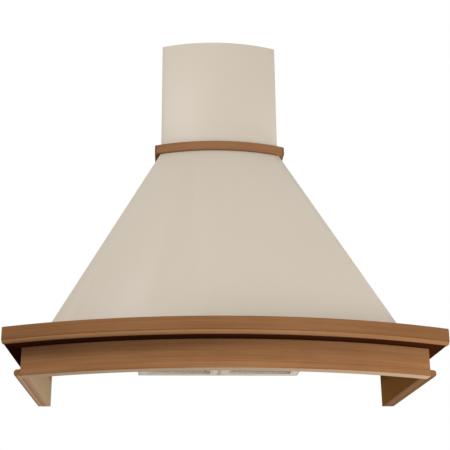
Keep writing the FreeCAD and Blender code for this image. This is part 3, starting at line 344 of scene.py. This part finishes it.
def make_brushed():
    """Long fine scratches along the first axis, for brushed steel and aluminium."""
    group, given, result = effect(
        "Brushed run", [("Vector", "NodeSocketVector", None), ("Fineness", "NodeSocketFloat", 1.0)],
        [("Tone", "NodeSocketFloat"), ("Height", "NodeSocketFloat")])
    scaled = node(group, "ShaderNodeVectorMath", {0: given["Vector"], 1: (8.0, 2200.0, 2200.0)},
                  operation="MULTIPLY")
    finer = node(group, "ShaderNodeVectorMath", {0: scaled.outputs[0], "Scale": given["Fineness"]},
                 operation="SCALE")
    scratch = noise(group, finer.outputs[0], 1.0, 3.0, 0.6)
    group.links.new(scratch, result["Tone"])
    group.links.new(scratch, result["Height"])
    return group


BOW_RUN = make_bow_run()
TIMBER_GRAIN = make_timber_grain()
EDGE_MASK = make_edge_mask()
FINE_SKIN = make_fine_skin()
BRUSHED = make_brushed()


# Materials

def blank(name):
    """A material with its tree, its shader and its object coordinates."""
    material = bpy.data.materials.new(name)
    material.use_nodes = True
    tree = material.node_tree
    shader = tree.nodes["Principled BSDF"]
    place = node(tree, "ShaderNodeTexCoord").outputs["Object"]
    return material, tree, shader, place


def use(tree, group, **links):
    made = tree.nodes.new("ShaderNodeGroup")
    made.node_tree = group
    for name, value in links.items():
        socket = made.inputs[name]
        if isinstance(value, bpy.types.NodeSocket):
            tree.links.new(value, socket)
        else:
            socket.default_value = value
    return made.outputs


def bump(tree, shader, height, strength, distance=0.001):
    made = node(tree, "ShaderNodeBump", {"Height": height, "Strength": strength, "Distance": distance})
    tree.links.new(made.outputs[0], shader.inputs["Normal"])


def colour_of(red, green, blue):
    """Screen colour 0 to 255 as the linear colour a shader takes."""
    shares = [value / 255 for value in (red, green, blue)]
    linear = [share / 12.92 if share <= 0.04045 else ((share + 0.055) / 1.055) ** 2.4 for share in shares]
    return (*linear, 1.0)


def facing_light_and_shade(tree, colour, facing, share, painted_tone):
    """The colour, blended by a share towards another colour where the facing value is near one: painted light
    on some faces and painted shade on others.
    """
    mask = maths(tree, "MULTIPLY", ramp(tree, facing, 0.8, 0.97), share)
    return blend_colours(tree, mask, colour, colour_of(*painted_tone))


def timber(name, centre=None, turned=False, shift=0.0, under=(0.0, (128, 88, 56)), inside=None,
           edge_tone=(84, 54, 32), pale=(166, 116, 74), deep=(126, 82, 46)):
    """Oiled timber. centre follows a bowed board, turned lays the grain along Y, under gives how
    far and to which colour the faces that look down are tinted, as painted light and shade, inside does
    the same for the faces that look along X with its sign, and edge_tone is the edges' colour, which on
    the ovolo is a painted highlight."""
    material, tree, shader, place = blank(name)
    if centre is not None:
        run = use(tree, BOW_RUN, Vector=place, Centre=centre)["Vector"]
    elif turned:
        run = node(tree, "ShaderNodeMapping", {"Vector": place, "Rotation": (0, 0, math.pi / 2)}).outputs[0]
    else:
        run = place
    run = node(tree, "ShaderNodeMapping", {"Vector": run, "Location": (shift, shift, 0)}).outputs[0]
    grain = use(tree, TIMBER_GRAIN, Vector=run, Pale=colour_of(*pale), Deep=colour_of(*deep), Figure=0.52)
    edge = use(tree, EDGE_MASK, Vector=place, Width=0.0016, Breakup=0.35)["Mask"]
    # The edges take the edge colour: darker on most boards, a painted highlight along the ovolo's nose
    colour = blend_colours(tree, maths(tree, "MULTIPLY", edge, 0.5), grain["Color"], colour_of(*edge_tone))
    facing = node(tree, "ShaderNodeSeparateXYZ", {0: node(tree, "ShaderNodeNewGeometry").outputs["Normal"]})
    # Faces that look down are tinted: painted shade under the cornice, painted light and shade under the
    # apron
    colour = facing_light_and_shade(tree, colour, maths(tree, "MULTIPLY", facing.outputs["Z"], -1.0), *under)
    # Faces that look along X are tinted: painted light and shade on the apron legs' inner faces
    if inside is not None:
        sign, share, painted_tone = inside
        colour = facing_light_and_shade(tree, colour, maths(tree, "MULTIPLY", facing.outputs["X"], sign), share, painted_tone)
    tree.links.new(colour, shader.inputs["Base Color"])
    tree.links.new(grain["Roughness"], shader.inputs["Roughness"])
    shader.inputs["Specular IOR Level"].default_value = 0.0
    bump(tree, shader, grain["Height"], 0.12, 0.0004)
    return material


def painted(name, colour, worn, gloss, peel, wear=0.3):
    """Sprayed paint over sheet steel."""
    material, tree, shader, place = blank(name)
    skin = use(tree, FINE_SKIN, Vector=place, Scale=peel)
    edge = use(tree, EDGE_MASK, Vector=place, Width=0.0012, Breakup=0.6)["Mask"]
    patchy = maths(tree, "MULTIPLY", ramp(tree, skin["Tone"], 0.35, 0.7), 0.07)
    shade = blend_colours(tree, patchy, colour, worn)
    shade = blend_colours(tree, maths(tree, "MULTIPLY", edge, wear), shade, worn)
    tree.links.new(shade, shader.inputs["Base Color"])
    tree.links.new(maths(tree, "MULTIPLY_ADD", skin["Tone"], 0.12, gloss), shader.inputs["Roughness"])
    bump(tree, shader, skin["Height"], 0.05, 0.0003)
    return material


def metal(name, colour, rough, fineness=1.0):
    """Bare sheet or bar metal with a brushed run."""
    material, tree, shader, place = blank(name)
    brush = use(tree, BRUSHED, Vector=place, Fineness=fineness)
    edge = use(tree, EDGE_MASK, Vector=place, Width=0.0008, Breakup=0.5)["Mask"]
    dull = tuple(c * 0.72 for c in colour[:3]) + (1.0,)
    shade = blend_colours(tree, maths(tree, "MULTIPLY", brush["Tone"], 0.25), colour, dull)
    shade = blend_colours(tree, maths(tree, "MULTIPLY", edge, 0.3), shade, (0.85, 0.85, 0.84, 1))
    tree.links.new(shade, shader.inputs["Base Color"])
    shader.inputs["Metallic"].default_value = 1.0
    tree.links.new(maths(tree, "MULTIPLY_ADD", brush["Tone"], 0.2, rough), shader.inputs["Roughness"])
    bump(tree, shader, brush["Height"], 0.06, 0.0002)
    return material


def moulded(name, colour, rough, grain=700.0, wear=0.25):
    """Moulded plastic or rubber with a fine spark-eroded grain."""
    material, tree, shader, place = blank(name)
    skin = use(tree, FINE_SKIN, Vector=place, Scale=grain)
    edge = use(tree, EDGE_MASK, Vector=place, Width=0.0008, Breakup=0.4)["Mask"]
    edge_tone = tuple(min(1.0, c * 1.6 + 0.01) for c in colour[:3]) + (1.0,)
    patchy = maths(tree, "MULTIPLY", ramp(tree, skin["Tone"], 0.35, 0.7), 0.18)
    shade = blend_colours(tree, patchy, colour, edge_tone)
    shade = blend_colours(tree, maths(tree, "MULTIPLY", edge, wear), shade, edge_tone)
    tree.links.new(shade, shader.inputs["Base Color"])
    tree.links.new(maths(tree, "MULTIPLY_ADD", skin["Tone"], 0.15, rough), shader.inputs["Roughness"])
    bump(tree, shader, skin["Height"], 0.15, 0.0003)
    return material


def clear_glass(name, colour, rough, ribs=0.0):
    """Clear or frosted glass."""
    material, tree, shader, place = blank(name)
    skin = use(tree, FINE_SKIN, Vector=place, Scale=400.0)
    shader.inputs["Base Color"].default_value = colour
    shader.inputs["Transmission Weight"].default_value = 0.85
    shader.inputs["IOR"].default_value = 1.45
    tree.links.new(maths(tree, "MULTIPLY_ADD", skin["Tone"], 0.1, rough), shader.inputs["Roughness"])
    bump(tree, shader, skin["Height"], ribs, 0.0005)
    return material


FINISH = {
    # Dark brown painted shade on the undersides of the cornice boards, in the recess over the apron
    "cornice_bowed": timber("Cornice bowed", centre=BOW_CENTRE, under=(0.95, (48, 10, 3)),
                            pale=(158, 112, 74), deep=(120, 80, 48)),
    # The ovolo is a lighter copy of the fascia's timber with a pale edge colour: a painted highlight along
    # its rounded nose
    "ovolo_bowed": timber("Ovolo bowed", centre=BOW_CENTRE, under=(0.95, (52, 16, 6)),
                          edge_tone=(196, 152, 110), pale=(176, 129, 88), deep=(140, 97, 61)),
    # The side boards' undersides get the same dark brown painted shade
    "cornice_side": timber("Cornice side", turned=True, shift=0.3, under=(0.95, (52, 16, 6))),
    # Pale undersides: the bare underside's paler tone, lightened further as painted light from below
    "apron_bowed": timber("Apron bowed", centre=BOW_CENTRE, shift=0.5, under=(0.85, (222, 192, 160)),
                          pale=(176, 126, 84), deep=(130, 87, 53)),
    # Painted light and shade that differ by side: pale painted light on the left leg's underside and inner
    # face, darker painted shade under the right leg and a warmer painted tone on its inner face in shade
    "apron_left": timber("Apron left", turned=True, shift=0.9, under=(0.85, (222, 182, 148)),
                         inside=(1.0, 0.85, (162, 143, 114))),
    "apron_right": timber("Apron right", turned=True, shift=0.5, under=(0.7, (128, 98, 74)),
                          inside=(-1.0, 0.85, (172, 120, 62))),
    "neck_bowed": timber("Neck bowed", centre=NECK_CENTRE, shift=0.7,
                         pale=(156, 112, 78), deep=(116, 80, 52)),
    "neck_side": timber("Neck side", turned=True, shift=0.1, pale=(146, 104, 72), deep=(108, 74, 48)),
    "cream_paint": painted("Cream paint", colour_of(207, 196, 180), colour_of(192, 180, 162),
                           0.42, 1400.0, 0.2),
    # A lighter copy of the cream paint on the filter frames: painted light on the strip seen under the apron
    "filter_paint": painted("Filter paint", colour_of(224, 209, 190), colour_of(200, 186, 166),
                            0.42, 1400.0, 0.2),
    "steel_sheet": metal("Galvanised sheet", colour_of(176, 177, 176), 0.34),
    "stainless": metal("Stainless", colour_of(200, 200, 198), 0.34, 1.4),
    "steel_rod": metal("Steel rod", colour_of(205, 205, 205), 0.15, 2.0),
    "aluminium_net": metal("Aluminium net", colour_of(214, 212, 206), 0.42, 1.6),
    "grey_plastic": moulded("Grey plastic", colour_of(96, 98, 100), 0.5),
    "fan_plastic": moulded("Fan plastic", colour_of(56, 58, 60), 0.48),
    "rubber": moulded("Rubber", colour_of(36, 36, 36), 0.75, 1200.0),
    "motor_paint": painted("Motor paint", colour_of(64, 66, 70), colour_of(120, 122, 124), 0.4, 900.0, 0.5),
    "black_plastic": moulded("Black plastic", colour_of(34, 34, 36), 0.42),
    "cap_plastic": moulded("Capacitor plastic", colour_of(208, 206, 198), 0.3),
    "button_plastic": moulded("Button plastic", colour_of(42, 42, 44), 0.3, 1600.0),
    "switch_face": metal("Switch face", colour_of(194, 194, 192), 0.24, 1.5),
    "reflector": metal("Reflector", colour_of(220, 220, 220), 0.12, 0.6),
    "lens": clear_glass("Frosted lens", (0.92, 0.94, 0.94, 1), 0.3, 0.4),
    "bulb": clear_glass("Bulb glass", (0.96, 0.96, 0.94, 1), 0.05),
}
BODY_OF = {name: body for body, names in frame["record"]["behaviour"]["bodies"].items() for name in names}
SLOT_OF = {item["node"]: item["material_slot"] for item in frame["record"]["subparts"]}
for name, slot in SLOT_OF.items():
    NODES[name].data.materials.clear()
    NODES[name].data.materials.append(FINISH["neck_side" if slot == "timber" else slot])


# Timber boards: each is a section run round the bow, or a straight board, cut at its ends

def bowed_board(name, centre, inner, outer, low, high, half, nose=0.0, ease=0.0012, steps=48):
    """A board whose section is turned round the bow's centre. nose rounds its lower front edge."""
    let_go()
    bpy.ops.mesh.primitive_plane_add(size=1, location=(0, 0, 0), rotation=(0, math.pi / 2, 0))
    piece = bpy.context.object
    piece.name = name
    piece.data.name = name
    bpy.ops.object.transform_apply(location=False, rotation=True, scale=True)
    for point in piece.data.vertices:
        front = point.co.y < 0
        point.co.y = centre.y - (outer if front else inner)
        point.co.z = high if point.co.z > 0 else low
    front_y = centre.y - outer
    for offset, level in ((nose or ease, low), (ease, high)):
        choose(piece, lambda co: abs(co.y - front_y) < NEAR and abs(co.z - level) < NEAR, "VERT")
        bpy.ops.mesh.bevel(offset=offset, segments=8 if offset > 0.003 else 3, affect="VERTICES", profile=0.5)
        done(piece)
    reach = math.asin((half + OVERRUN) / outer)
    choose(piece, lambda co: True, "VERT")
    bpy.ops.transform.rotate(value=-reach, orient_axis="Z", center_override=centre)
    done(piece)
    start = min(point.co.x for point in piece.data.vertices)
    way = 1 if start < 0 else -1
    choose(piece, lambda co: True, "VERT")
    bpy.ops.mesh.spin(steps=steps, angle=-2 * reach * way, center=centre, axis=(0, 0, 1))
    done(piece)
    return piece


def cut_off(piece, at, outward):
    """Cuts the piece flat through a point and throws away what lies outwards."""
    choose(piece, lambda centre, normal: True)
    bpy.ops.mesh.bisect(plane_co=at, plane_no=outward, use_fill=True, clear_outer=True)
    return done(piece)


def bow_corner(centre, half, bow):
    """Where a bow ends at its half width, on the right-hand side."""
    return half, centre.y - math.sqrt(bow ** 2 - half ** 2)


def mitre_of(side, inner_corner, outer_corner):
    """A point of one side's mitre and the direction that looks off a front board through it."""
    run = Vector(((outer_corner[0] - inner_corner[0]) * side, outer_corner[1] - inner_corner[1], 0))
    return (inner_corner[0] * side, inner_corner[1], 0), Vector((-run.y, run.x, 0)) * side


def mitred(piece, inner_corner, outer_corner):
    """Cuts both mitres of a front board."""
    for side in (1, -1):
        cut_off(piece, *mitre_of(side, inner_corner, outer_corner))
    return piece


def squared(piece, half):
    """Cuts both ends of a front board square."""
    for side in (1, -1):
        cut_off(piece, (half * side, 0, 0), (side, 0, 0))
    return piece


def finish_board(piece, edge=0.0008):
    tidy(piece)
    softened(piece, edge, 2)
    return piece


def rebated(board, side=0):
    """Cuts the rebate over the apron's inner faces out of a cornice board, the front one or a side."""
    if side:
        ends = sorted((0, side * REBATE_HALF))
        room = box_between("rebate", (ends[0], REBATE_FRONT, REBATE_LOW), (ends[1], REBATE_BACK, REBATE_TOP))
    else:
        room = bowed_board("rebate", BOW_CENTRE, REBATE_REAR_BOW, REBATE_BOW, REBATE_LOW, REBATE_TOP,
                           REBATE_HALF)
        tidy(squared(room, REBATE_HALF))
    # The exact solver can lose a whole bowed board when a mitre moves by a few hundred-millionths of a metre
    finish_with(board, "BOOLEAN", object=room, operation="DIFFERENCE", solver="EXACT" if side else "FAST")
    bpy.data.objects.remove(room)
    return board


def on_timber(piece, finish, *nodes):
    """Puts a finished board on the hood."""
    return put_on(piece, "hood", "timber", FINISH[finish], *nodes)


def cornice_boards():
    """The cornice in three mitred boards, each a fascia with an ovolo under it."""
    mitre = bow_corner(BOW_CENTRE, CANOPY_HALF, CANOPY_BOW), bow_corner(BOW_CENTRE, CORNICE_HALF, CORNICE_BOW)
    board = bowed_board("cornice_front_fascia", BOW_CENTRE, CANOPY_BOW, CORNICE_BOW, OVOLO_TOP,
                        CORNICE_HIGH, CORNICE_HALF, ease=FASCIA_EASE)
    rebated(tidy(mitred(board, *mitre)))
    on_timber(finish_board(board), "cornice_bowed", "cornice_front")
    nose = bowed_board("cornice_front_ovolo", BOW_CENTRE, CANOPY_BOW, CORNICE_BOW - OVOLO_SET_BACK,
                       CORNICE_LOW, OVOLO_TOP, CORNICE_HALF, nose=OVOLO_ROUND, ease=0.0004)
    rebated(tidy(mitred(nose, *mitre)))
    on_timber(finish_board(nose, 0.0004), "ovolo_bowed")

    # name, lowest and highest level, half width, level of the rounded edge, its round, nodes
    forms = (("fascia", OVOLO_TOP, CORNICE_HIGH, CORNICE_HALF, CORNICE_HIGH, FASCIA_EASE),
             ("ovolo", CORNICE_LOW, OVOLO_TOP, CORNICE_HALF - OVOLO_SIDE_SET_BACK, CORNICE_LOW, OVOLO_ROUND))
    for hand, side in (("left", -1), ("right", 1)):
        at, outward = mitre_of(side, *mitre)
        for part, bottom, top, reach, level, round_over in forms:
            ends = sorted((side * CANOPY_HALF, side * reach))
            board = box_between("cornice_%s_%s" % (hand, part), (ends[0], SIDE_FRONT, bottom),
                                (ends[1], 0.0, top))
            choose(board, lambda *ends: all(
                abs(end.x - side * reach) < NEAR and abs(end.z - level) < NEAR for end in ends), "EDGE")
            bpy.ops.mesh.bevel(offset=round_over, segments=8, affect="EDGES")
            done(board)
            rebated(tidy(cut_off(board, at, -outward)), side)
            nodes = ("cornice_" + hand,) if part == "fascia" else ()
            on_timber(finish_board(board, 0.0006), "cornice_side", *nodes)


def apron_boards():
    """The apron's front board and the bead along its lower edge."""
    board = bowed_board("apron_front_board", BOW_CENTRE, APRON_INNER_BOW, APRON_BOW, APRON_LOW, CORNICE_LOW,
                        APRON_HALF)
    on_timber(finish_board(squared(board, APRON_HALF), 0.0012), "apron_bowed", "apron_front")
    bead = bowed_board("bead_front_strip", BOW_CENTRE, APRON_BOW, APRON_BOW + BEAD_REACH, APRON_LOW,
                       APRON_LOW + BEAD_TALL, APRON_HALF, nose=0.0008, ease=0.0008)
    on_timber(finish_board(squared(bead, APRON_HALF), 0.0004), "apron_bowed", "bead_front")


def neck_trim():
    """The front strip of the trim round the neck."""
    trim = bowed_board("neck_trim_front_strip", NECK_CENTRE, NECK_BOW, TRIM_BOW, TRIM_LOW, TRIM_HIGH,
                       TRIM_HALF, nose=0.003, ease=0.003, steps=32)
    mitred(trim, bow_corner(NECK_CENTRE, NECK_HALF, NECK_BOW), bow_corner(NECK_CENTRE, TRIM_HALF, TRIM_BOW))
    on_timber(finish_board(trim, 0.0005), "neck_bowed", "neck_trim_front")


def dressed(node, width, segments=2, finish=None):
    """The node's shape with softened edges, in the node's own finish and on its own body."""
    piece = same_as(node, node + "_softened", width, segments)
    return put_on(piece, BODY_OF[node], SLOT_OF[node], FINISH[finish or SLOT_OF[node]], node)


def added_to(piece, like, finish=None):
    """Puts a new piece on the body of a node, in the material of that node's slot."""
    return put_on(piece, BODY_OF[like], SLOT_OF[like], FINISH[finish or SLOT_OF[like]])


def copied(piece, name, shift):
    """A moved copy with its own mesh."""
    twin = piece.copy()
    twin.data = piece.data.copy()
    twin.name = name
    bpy.context.scene.collection.objects.link(twin)
    twin.location = shift
    return settle(twin)


def cut_by(piece, *tools):
    """Takes the tools' shapes out of the piece and deletes the tools."""
    for tool in tools:
        finish_with(piece, "BOOLEAN", object=tool, operation="DIFFERENCE", solver="EXACT")
        bpy.data.objects.remove(tool)
    return piece


def cross_head(name, at, radius=0.0036, tall=0.0018, axis="Z"):
    """A pan head with a cross recess, which stands out downwards or, on axis Y, to the front."""
    head = disc(name, (0, 0, tall / 2), radius, tall, sides=32)
    choose(head, lambda centre, normal: normal.z > 0.9)
    bpy.ops.mesh.bevel(offset=tall * 0.6, segments=3, affect="EDGES")
    done(head)
    long, thin, floor = radius * 0.62, radius * 0.13, tall * 0.35
    arms = [box_between("arm", (-across, -along, floor), (across, along, tall * 2))
            for across, along in ((long, thin), (thin, long))]
    cut_by(head, *arms)
    head.rotation_euler = (math.pi / 2 if axis == "Y" else math.pi, 0, 0)
    head.location = at
    settle(head)
    bpy.ops.object.shade_smooth_by_angle(angle=math.radians(35))
    return head


# Timber boards

cornice_boards()
apron_boards()
neck_trim()
for hand in ("left", "right"):
    dressed("apron_" + hand, 0.0006, finish="apron_" + hand)
    dressed("bead_" + hand, 0.0006, finish="apron_" + hand)
    dressed("neck_trim_" + hand, 0.0006, finish="neck_side")


# Sheet metal: canopy, chimney, back plate and underside panel

def back_plate_beads():
    """Pressed stiffening beads: a groove in the wall side with a rib inside."""
    plate = same_as("back_plate", "back_plate_pressed")
    groove_radius, groove_back = 0.0045, 0.0034
    rib_radius, rib_back, rib_end_round = 0.0032, -0.0012, 0.0014
    levels_and_halves = ((0.055, 0.24), (0.21, 0.07), (0.345, 0.13))
    for level, half in levels_and_halves:
        groove = disc("groove", (0, groove_back, level), groove_radius, 2 * half, axis="X", sides=24)
        cut_by(plate, groove)
        middle = (0, rib_back, level)
        rib = disc("back_plate_rib_%d" % (level * 1000), middle, rib_radius, 2 * half, axis="X", sides=24)
        cut_off(rib, middle, (0, 1, 0))
        choose(rib, lambda centre, normal: abs(normal.x) > 0.9)
        bpy.ops.mesh.bevel(offset=rib_end_round, segments=3, affect="EDGES")
        done(rib)
        added_to(tidy(rib), "back_plate")
    tidy(plate, 12)
    put_on(plate, "hood", "steel_sheet", FINISH["steel_sheet"], "back_plate")


def panel_screws():
    """Cross-head screws that hold the underside panel and the filter seat."""
    spots = [(0.335, -0.06), (0.335, -0.24), (0.13, -0.402)]
    seat_level = 0.002
    first = cross_head("panel_screw", (0, 0, 0))
    for number, (across, back) in enumerate(spots):
        for side in (-1, 1):
            made = copied(first, "panel_screw_%d_%d" % (number, side + 1), (side * across, back, seat_level))
            added_to(made, "screws")
    bpy.data.objects.remove(first)


dressed("canopy_shell", 0.0004)
dressed("chimney_cover", 0.0004)
dressed("chimney_extension", 0.0003)
dressed("ceiling_strap", 0.0004)
dressed("underside_panel", 0.0004)
back_plate_beads()
panel_screws()


# Grease filters

def filter_pads():
    """Crimped aluminium layers that lie over each net inside its rim."""
    side_room, end_room, shift_back, lift = 0.004, 0.036, 0.016, 0.0012
    crimp, crimp_rate, wire = 0.0005, 900, 0.0007
    for hand in ("left", "right"):
        net = NODES["filter_net_" + hand]
        lows = [min(point.co[i] for point in net.data.vertices) for i in range(3)]
        highs = [max(point.co[i] for point in net.data.vertices) for i in range(3)]
        let_go()
        bpy.ops.mesh.primitive_grid_add(x_subdivisions=26, y_subdivisions=40, size=1)
        pad = bpy.context.object
        pad.name = "filter_pad_" + hand
        pad.scale = (highs[0] - lows[0] - side_room, highs[1] - lows[1] - end_room, 1)
        pad.location = ((lows[0] + highs[0]) / 2, (lows[1] + highs[1]) / 2 + shift_back, highs[2] + lift)
        settle(pad)
        for point in pad.data.vertices:
            point.co.z += crimp * math.sin(point.co.x * crimp_rate) * math.cos(point.co.y * crimp_rate)
        finish_with(pad, "WIREFRAME", thickness=wire, use_even_offset=False)
        bpy.ops.object.shade_smooth()
        added_to(pad, "filter_net_" + hand)


dressed("filter_seat", 0.0004)
for hand in ("left", "right"):
    dressed("filter_frame_" + hand, 0.0008, finish="filter_paint")
    dressed("filter_latch_" + hand, 0.0005)
filter_pads()


# Lamps and push buttons

def lamp_lenses():
    """Lenses with stepped rings on the side that looks down."""
    rings, ring_width, ring_step = 5, 0.004, 0.0004
    for hand in ("left", "right"):
        lens = same_as("lamp_glass_" + hand, "lamp_lens_" + hand)
        choose(lens, lambda centre, normal: normal.z < -0.9)
        bpy.ops.mesh.dissolve_faces()
        for ring in range(rings):
            bpy.ops.mesh.inset(thickness=ring_width, depth=ring_step if ring % 2 else -ring_step)
        done(lens)
        bpy.ops.object.shade_smooth_by_angle(angle=math.radians(20))
        put_on(lens, "hood", "lens", FINISH["lens"], "lamp_glass_" + hand)


def button_caps():
    """Buttons with rounded edges and a shallow finger dimple."""
    button_row, dimple_radius, dimple_drop = -0.366, 0.016, 0.0152
    for number in range(1, 6):
        cap = same_as("button_%d" % number, "button_cap_%d" % number)
        low = min(point.co.z for point in cap.data.vertices)
        places = [point.co.x for point in cap.data.vertices]
        across = (min(places) + max(places)) / 2
        let_go()
        bpy.ops.mesh.primitive_uv_sphere_add(segments=48, ring_count=24, radius=dimple_radius,
                                             location=(across, button_row, low - dimple_drop))
        cut_by(cap, added("dimple"))
        softened(cap, 0.0007, 3, 40)
        put_on(cap, "button_%d" % number, "button_plastic", FINISH["button_plastic"], "button_%d" % number)


for hand in ("left", "right"):
    dressed("lamp_bezel_" + hand, 0.0005, 3)
lamp_lenses()
dressed("switch_plate", 0.0004)
button_caps()


# Blower, motor and electrics

def motor_slots():
    """Cooling slots round the motor's can."""
    can = same_as("motor", "motor_slotted", 0.0008)
    axis_start, along, ring = Vector((0.0125, -0.139, 0.133)), 0.034, 0.041
    slots, slot_size = 12, (0.03, 0.006, 0.005)
    tools = []
    for number in range(slots):
        turned = number * math.pi / (slots / 2)
        let_go()
        spot = axis_start + Vector((along, ring * math.cos(turned), ring * math.sin(turned)))
        bpy.ops.mesh.primitive_cube_add(size=1, location=spot, rotation=(turned, 0, 0))
        bpy.context.object.scale = slot_size
        tools.append(added("slot"))
    cut_by(can, *tools)
    bpy.ops.object.shade_smooth_by_angle(angle=SMOOTH_ANGLE)
    put_on(can, "hood", "motor_paint", FINISH["motor_paint"], "motor")


def box_lid():
    """Lid of the terminal box with its two screws."""
    lid_front, lid_back = -0.0368, -0.0353
    screw_places = ((0.156, 0.079), (0.224, 0.127))
    lid = box_between("terminal_lid", (0.1488, lid_front, 0.0718), (0.2312, lid_back, 0.1342))
    added_to(softened(lid, 0.0006, 3), "terminal_box")
    for number, (across, level) in enumerate(screw_places):
        head = cross_head("terminal_screw_%d" % number, (across, lid_front, level), 0.003, 0.0016, "Y")
        added_to(head, "screws")


def capacitor_top():
    """Crimped rim and two blade terminals on the capacitor."""
    top = max(point.co.z for point in NODES["capacitor"].data.vertices)
    middle = (-0.178, -0.0212)
    rim_radius, rim_wire, rim_drop = 0.0152, 0.0008, 0.0006
    blade_apart, half_thick, half_wide, blade_tall = 0.006, 0.0004, 0.003, 0.009
    let_go()
    bpy.ops.mesh.primitive_torus_add(major_radius=rim_radius, minor_radius=rim_wire, major_segments=48,
                                     minor_segments=10, location=(*middle, top - rim_drop))
    added_to(added("capacitor_rim"), "capacitor")
    bpy.ops.object.shade_smooth()
    for side in (-1, 1):
        across = middle[0] + side * blade_apart
        low = (across - half_thick, middle[1] - half_wide, top)
        high = (across + half_thick, middle[1] + half_wide, top + blade_tall)
        blade = box_between("capacitor_blade_%d" % (side + 1), low, high)
        added_to(softened(blade, 0.0002), "screws")


def spigot_bead():
    """Rolled bead that keeps the duct on the spigot."""
    bead_radius, bead_wire, bead_middle = 0.0748, 0.0011, (0, -0.088, 0.301)
    let_go()
    bpy.ops.mesh.primitive_torus_add(major_radius=bead_radius, minor_radius=bead_wire, major_segments=96,
                                     minor_segments=10, location=bead_middle)
    added_to(added("spigot_bead"), "outlet_spigot")
    bpy.ops.object.shade_smooth()


for name, width in (("scroll_housing", 0.0006), ("blower_rails", 0.0003), ("motor_spider", 0.0004),
                    ("outlet_spigot", 0.0004), ("flap_front", 0.0003), ("flap_back", 0.0003),
                    ("switch_box", 0.0006), ("terminal_box", 0.0012), ("capacitor", 0.0006),
                    ("cable_gland", 0.0005), ("screws", 0.0003)):
    dressed(name, width)
motor_slots()
box_lid()
capacitor_top()
spigot_bead()


# Studio

def seen_directly(tree):
    """1 where the camera looks straight, through glass or by a reflection."""
    path = node(tree, "ShaderNodeLightPath")
    seen = maths(tree, "MAXIMUM", path.outputs["Is Camera Ray"], path.outputs["Is Transmission Ray"])
    return maths(tree, "MAXIMUM", seen, path.outputs["Is Glossy Ray"])


def studio():
    """A pale floor far below, a white surround, and three soft lamps."""
    floor_size, floor_level = 12, -2.6
    let_go()
    bpy.ops.mesh.primitive_plane_add(size=floor_size, location=(0, 0, floor_level))
    floor = added("floor")
    material, tree, shader, _ = blank("Pale floor")
    pale = blend_colours(tree, seen_directly(tree), (0.3, 0.3, 0.3, 1), (0.9, 0.9, 0.9, 1))
    tree.links.new(pale, shader.inputs["Base Color"])
    shader.inputs["Roughness"].default_value = 0.9
    floor.data.materials.append(material)

    world = bpy.data.worlds.new("Studio")
    bpy.context.scene.world = world
    world.use_nodes = True
    tree = world.node_tree
    tree.nodes.clear()
    soft = node(tree, "ShaderNodeBackground", {"Color": (1.0, 0.99, 0.97, 1), "Strength": 0.42})
    white = node(tree, "ShaderNodeBackground", {"Color": (1, 1, 1, 1), "Strength": 1.0})
    either = node(tree, "ShaderNodeMixShader",
                  {0: seen_directly(tree), 1: soft.outputs[0], 2: white.outputs[0]})
    node(tree, "ShaderNodeOutputWorld", {"Surface": either.outputs[0]})

    # name, place, point it is aimed at, width and power
    lamps = (("key", (-1.0, -1.8, 1.2), (0, -0.2, 0.8), 1.1, 21.0),
             ("fill", (1.9, -1.9, -0.6), (0, -0.3, 0.0), 1.5, 34.0),
             ("under", (2.0, 0.3, -1.3), (-0.1, -0.2, 0.0), 1.2, 40.0))
    for name, at, aim, width, power in lamps:
        lamp = bpy.data.lights.new(name, "AREA")
        lamp.size = width
        lamp.energy = power
        holder = bpy.data.objects.new(name, lamp)
        bpy.context.scene.collection.objects.link(holder)
        direction = Vector(aim) - Vector(at)
        holder.location = at
        holder.rotation_euler = direction.to_track_quat("-Z", "Y").to_euler()

    bpy.context.scene.view_settings.view_transform = "Standard"


def camera():
    """The photograph's viewpoint: in front, a little to the left, looking up."""
    viewpoint = (-0.12184, -2.30169, -0.44738)
    yaw, pitch, roll = math.radians(-3.55), math.radians(19.62), math.radians(-0.58)
    sensor_width, focal_length = 36.0, 77.09
    ahead = Vector((math.sin(-yaw) * math.cos(pitch), math.cos(yaw) * math.cos(pitch), math.sin(pitch)))
    right = Vector((math.cos(yaw), math.sin(yaw), 0.0))
    up = right.cross(ahead)
    level_right = right * math.cos(roll) + up * math.sin(roll)
    level_up = up * math.cos(roll) - right * math.sin(roll)
    lens = bpy.data.cameras.new("camera")
    lens.sensor_width = sensor_width
    lens.lens = focal_length
    eye = bpy.data.objects.new("camera", lens)
    bpy.context.scene.collection.objects.link(eye)
    turn = Matrix((level_right, level_up, -ahead)).transposed().to_4x4()
    eye.matrix_world = Matrix.Translation(viewpoint) @ turn
    bpy.context.scene.camera = eye


studio()
camera()
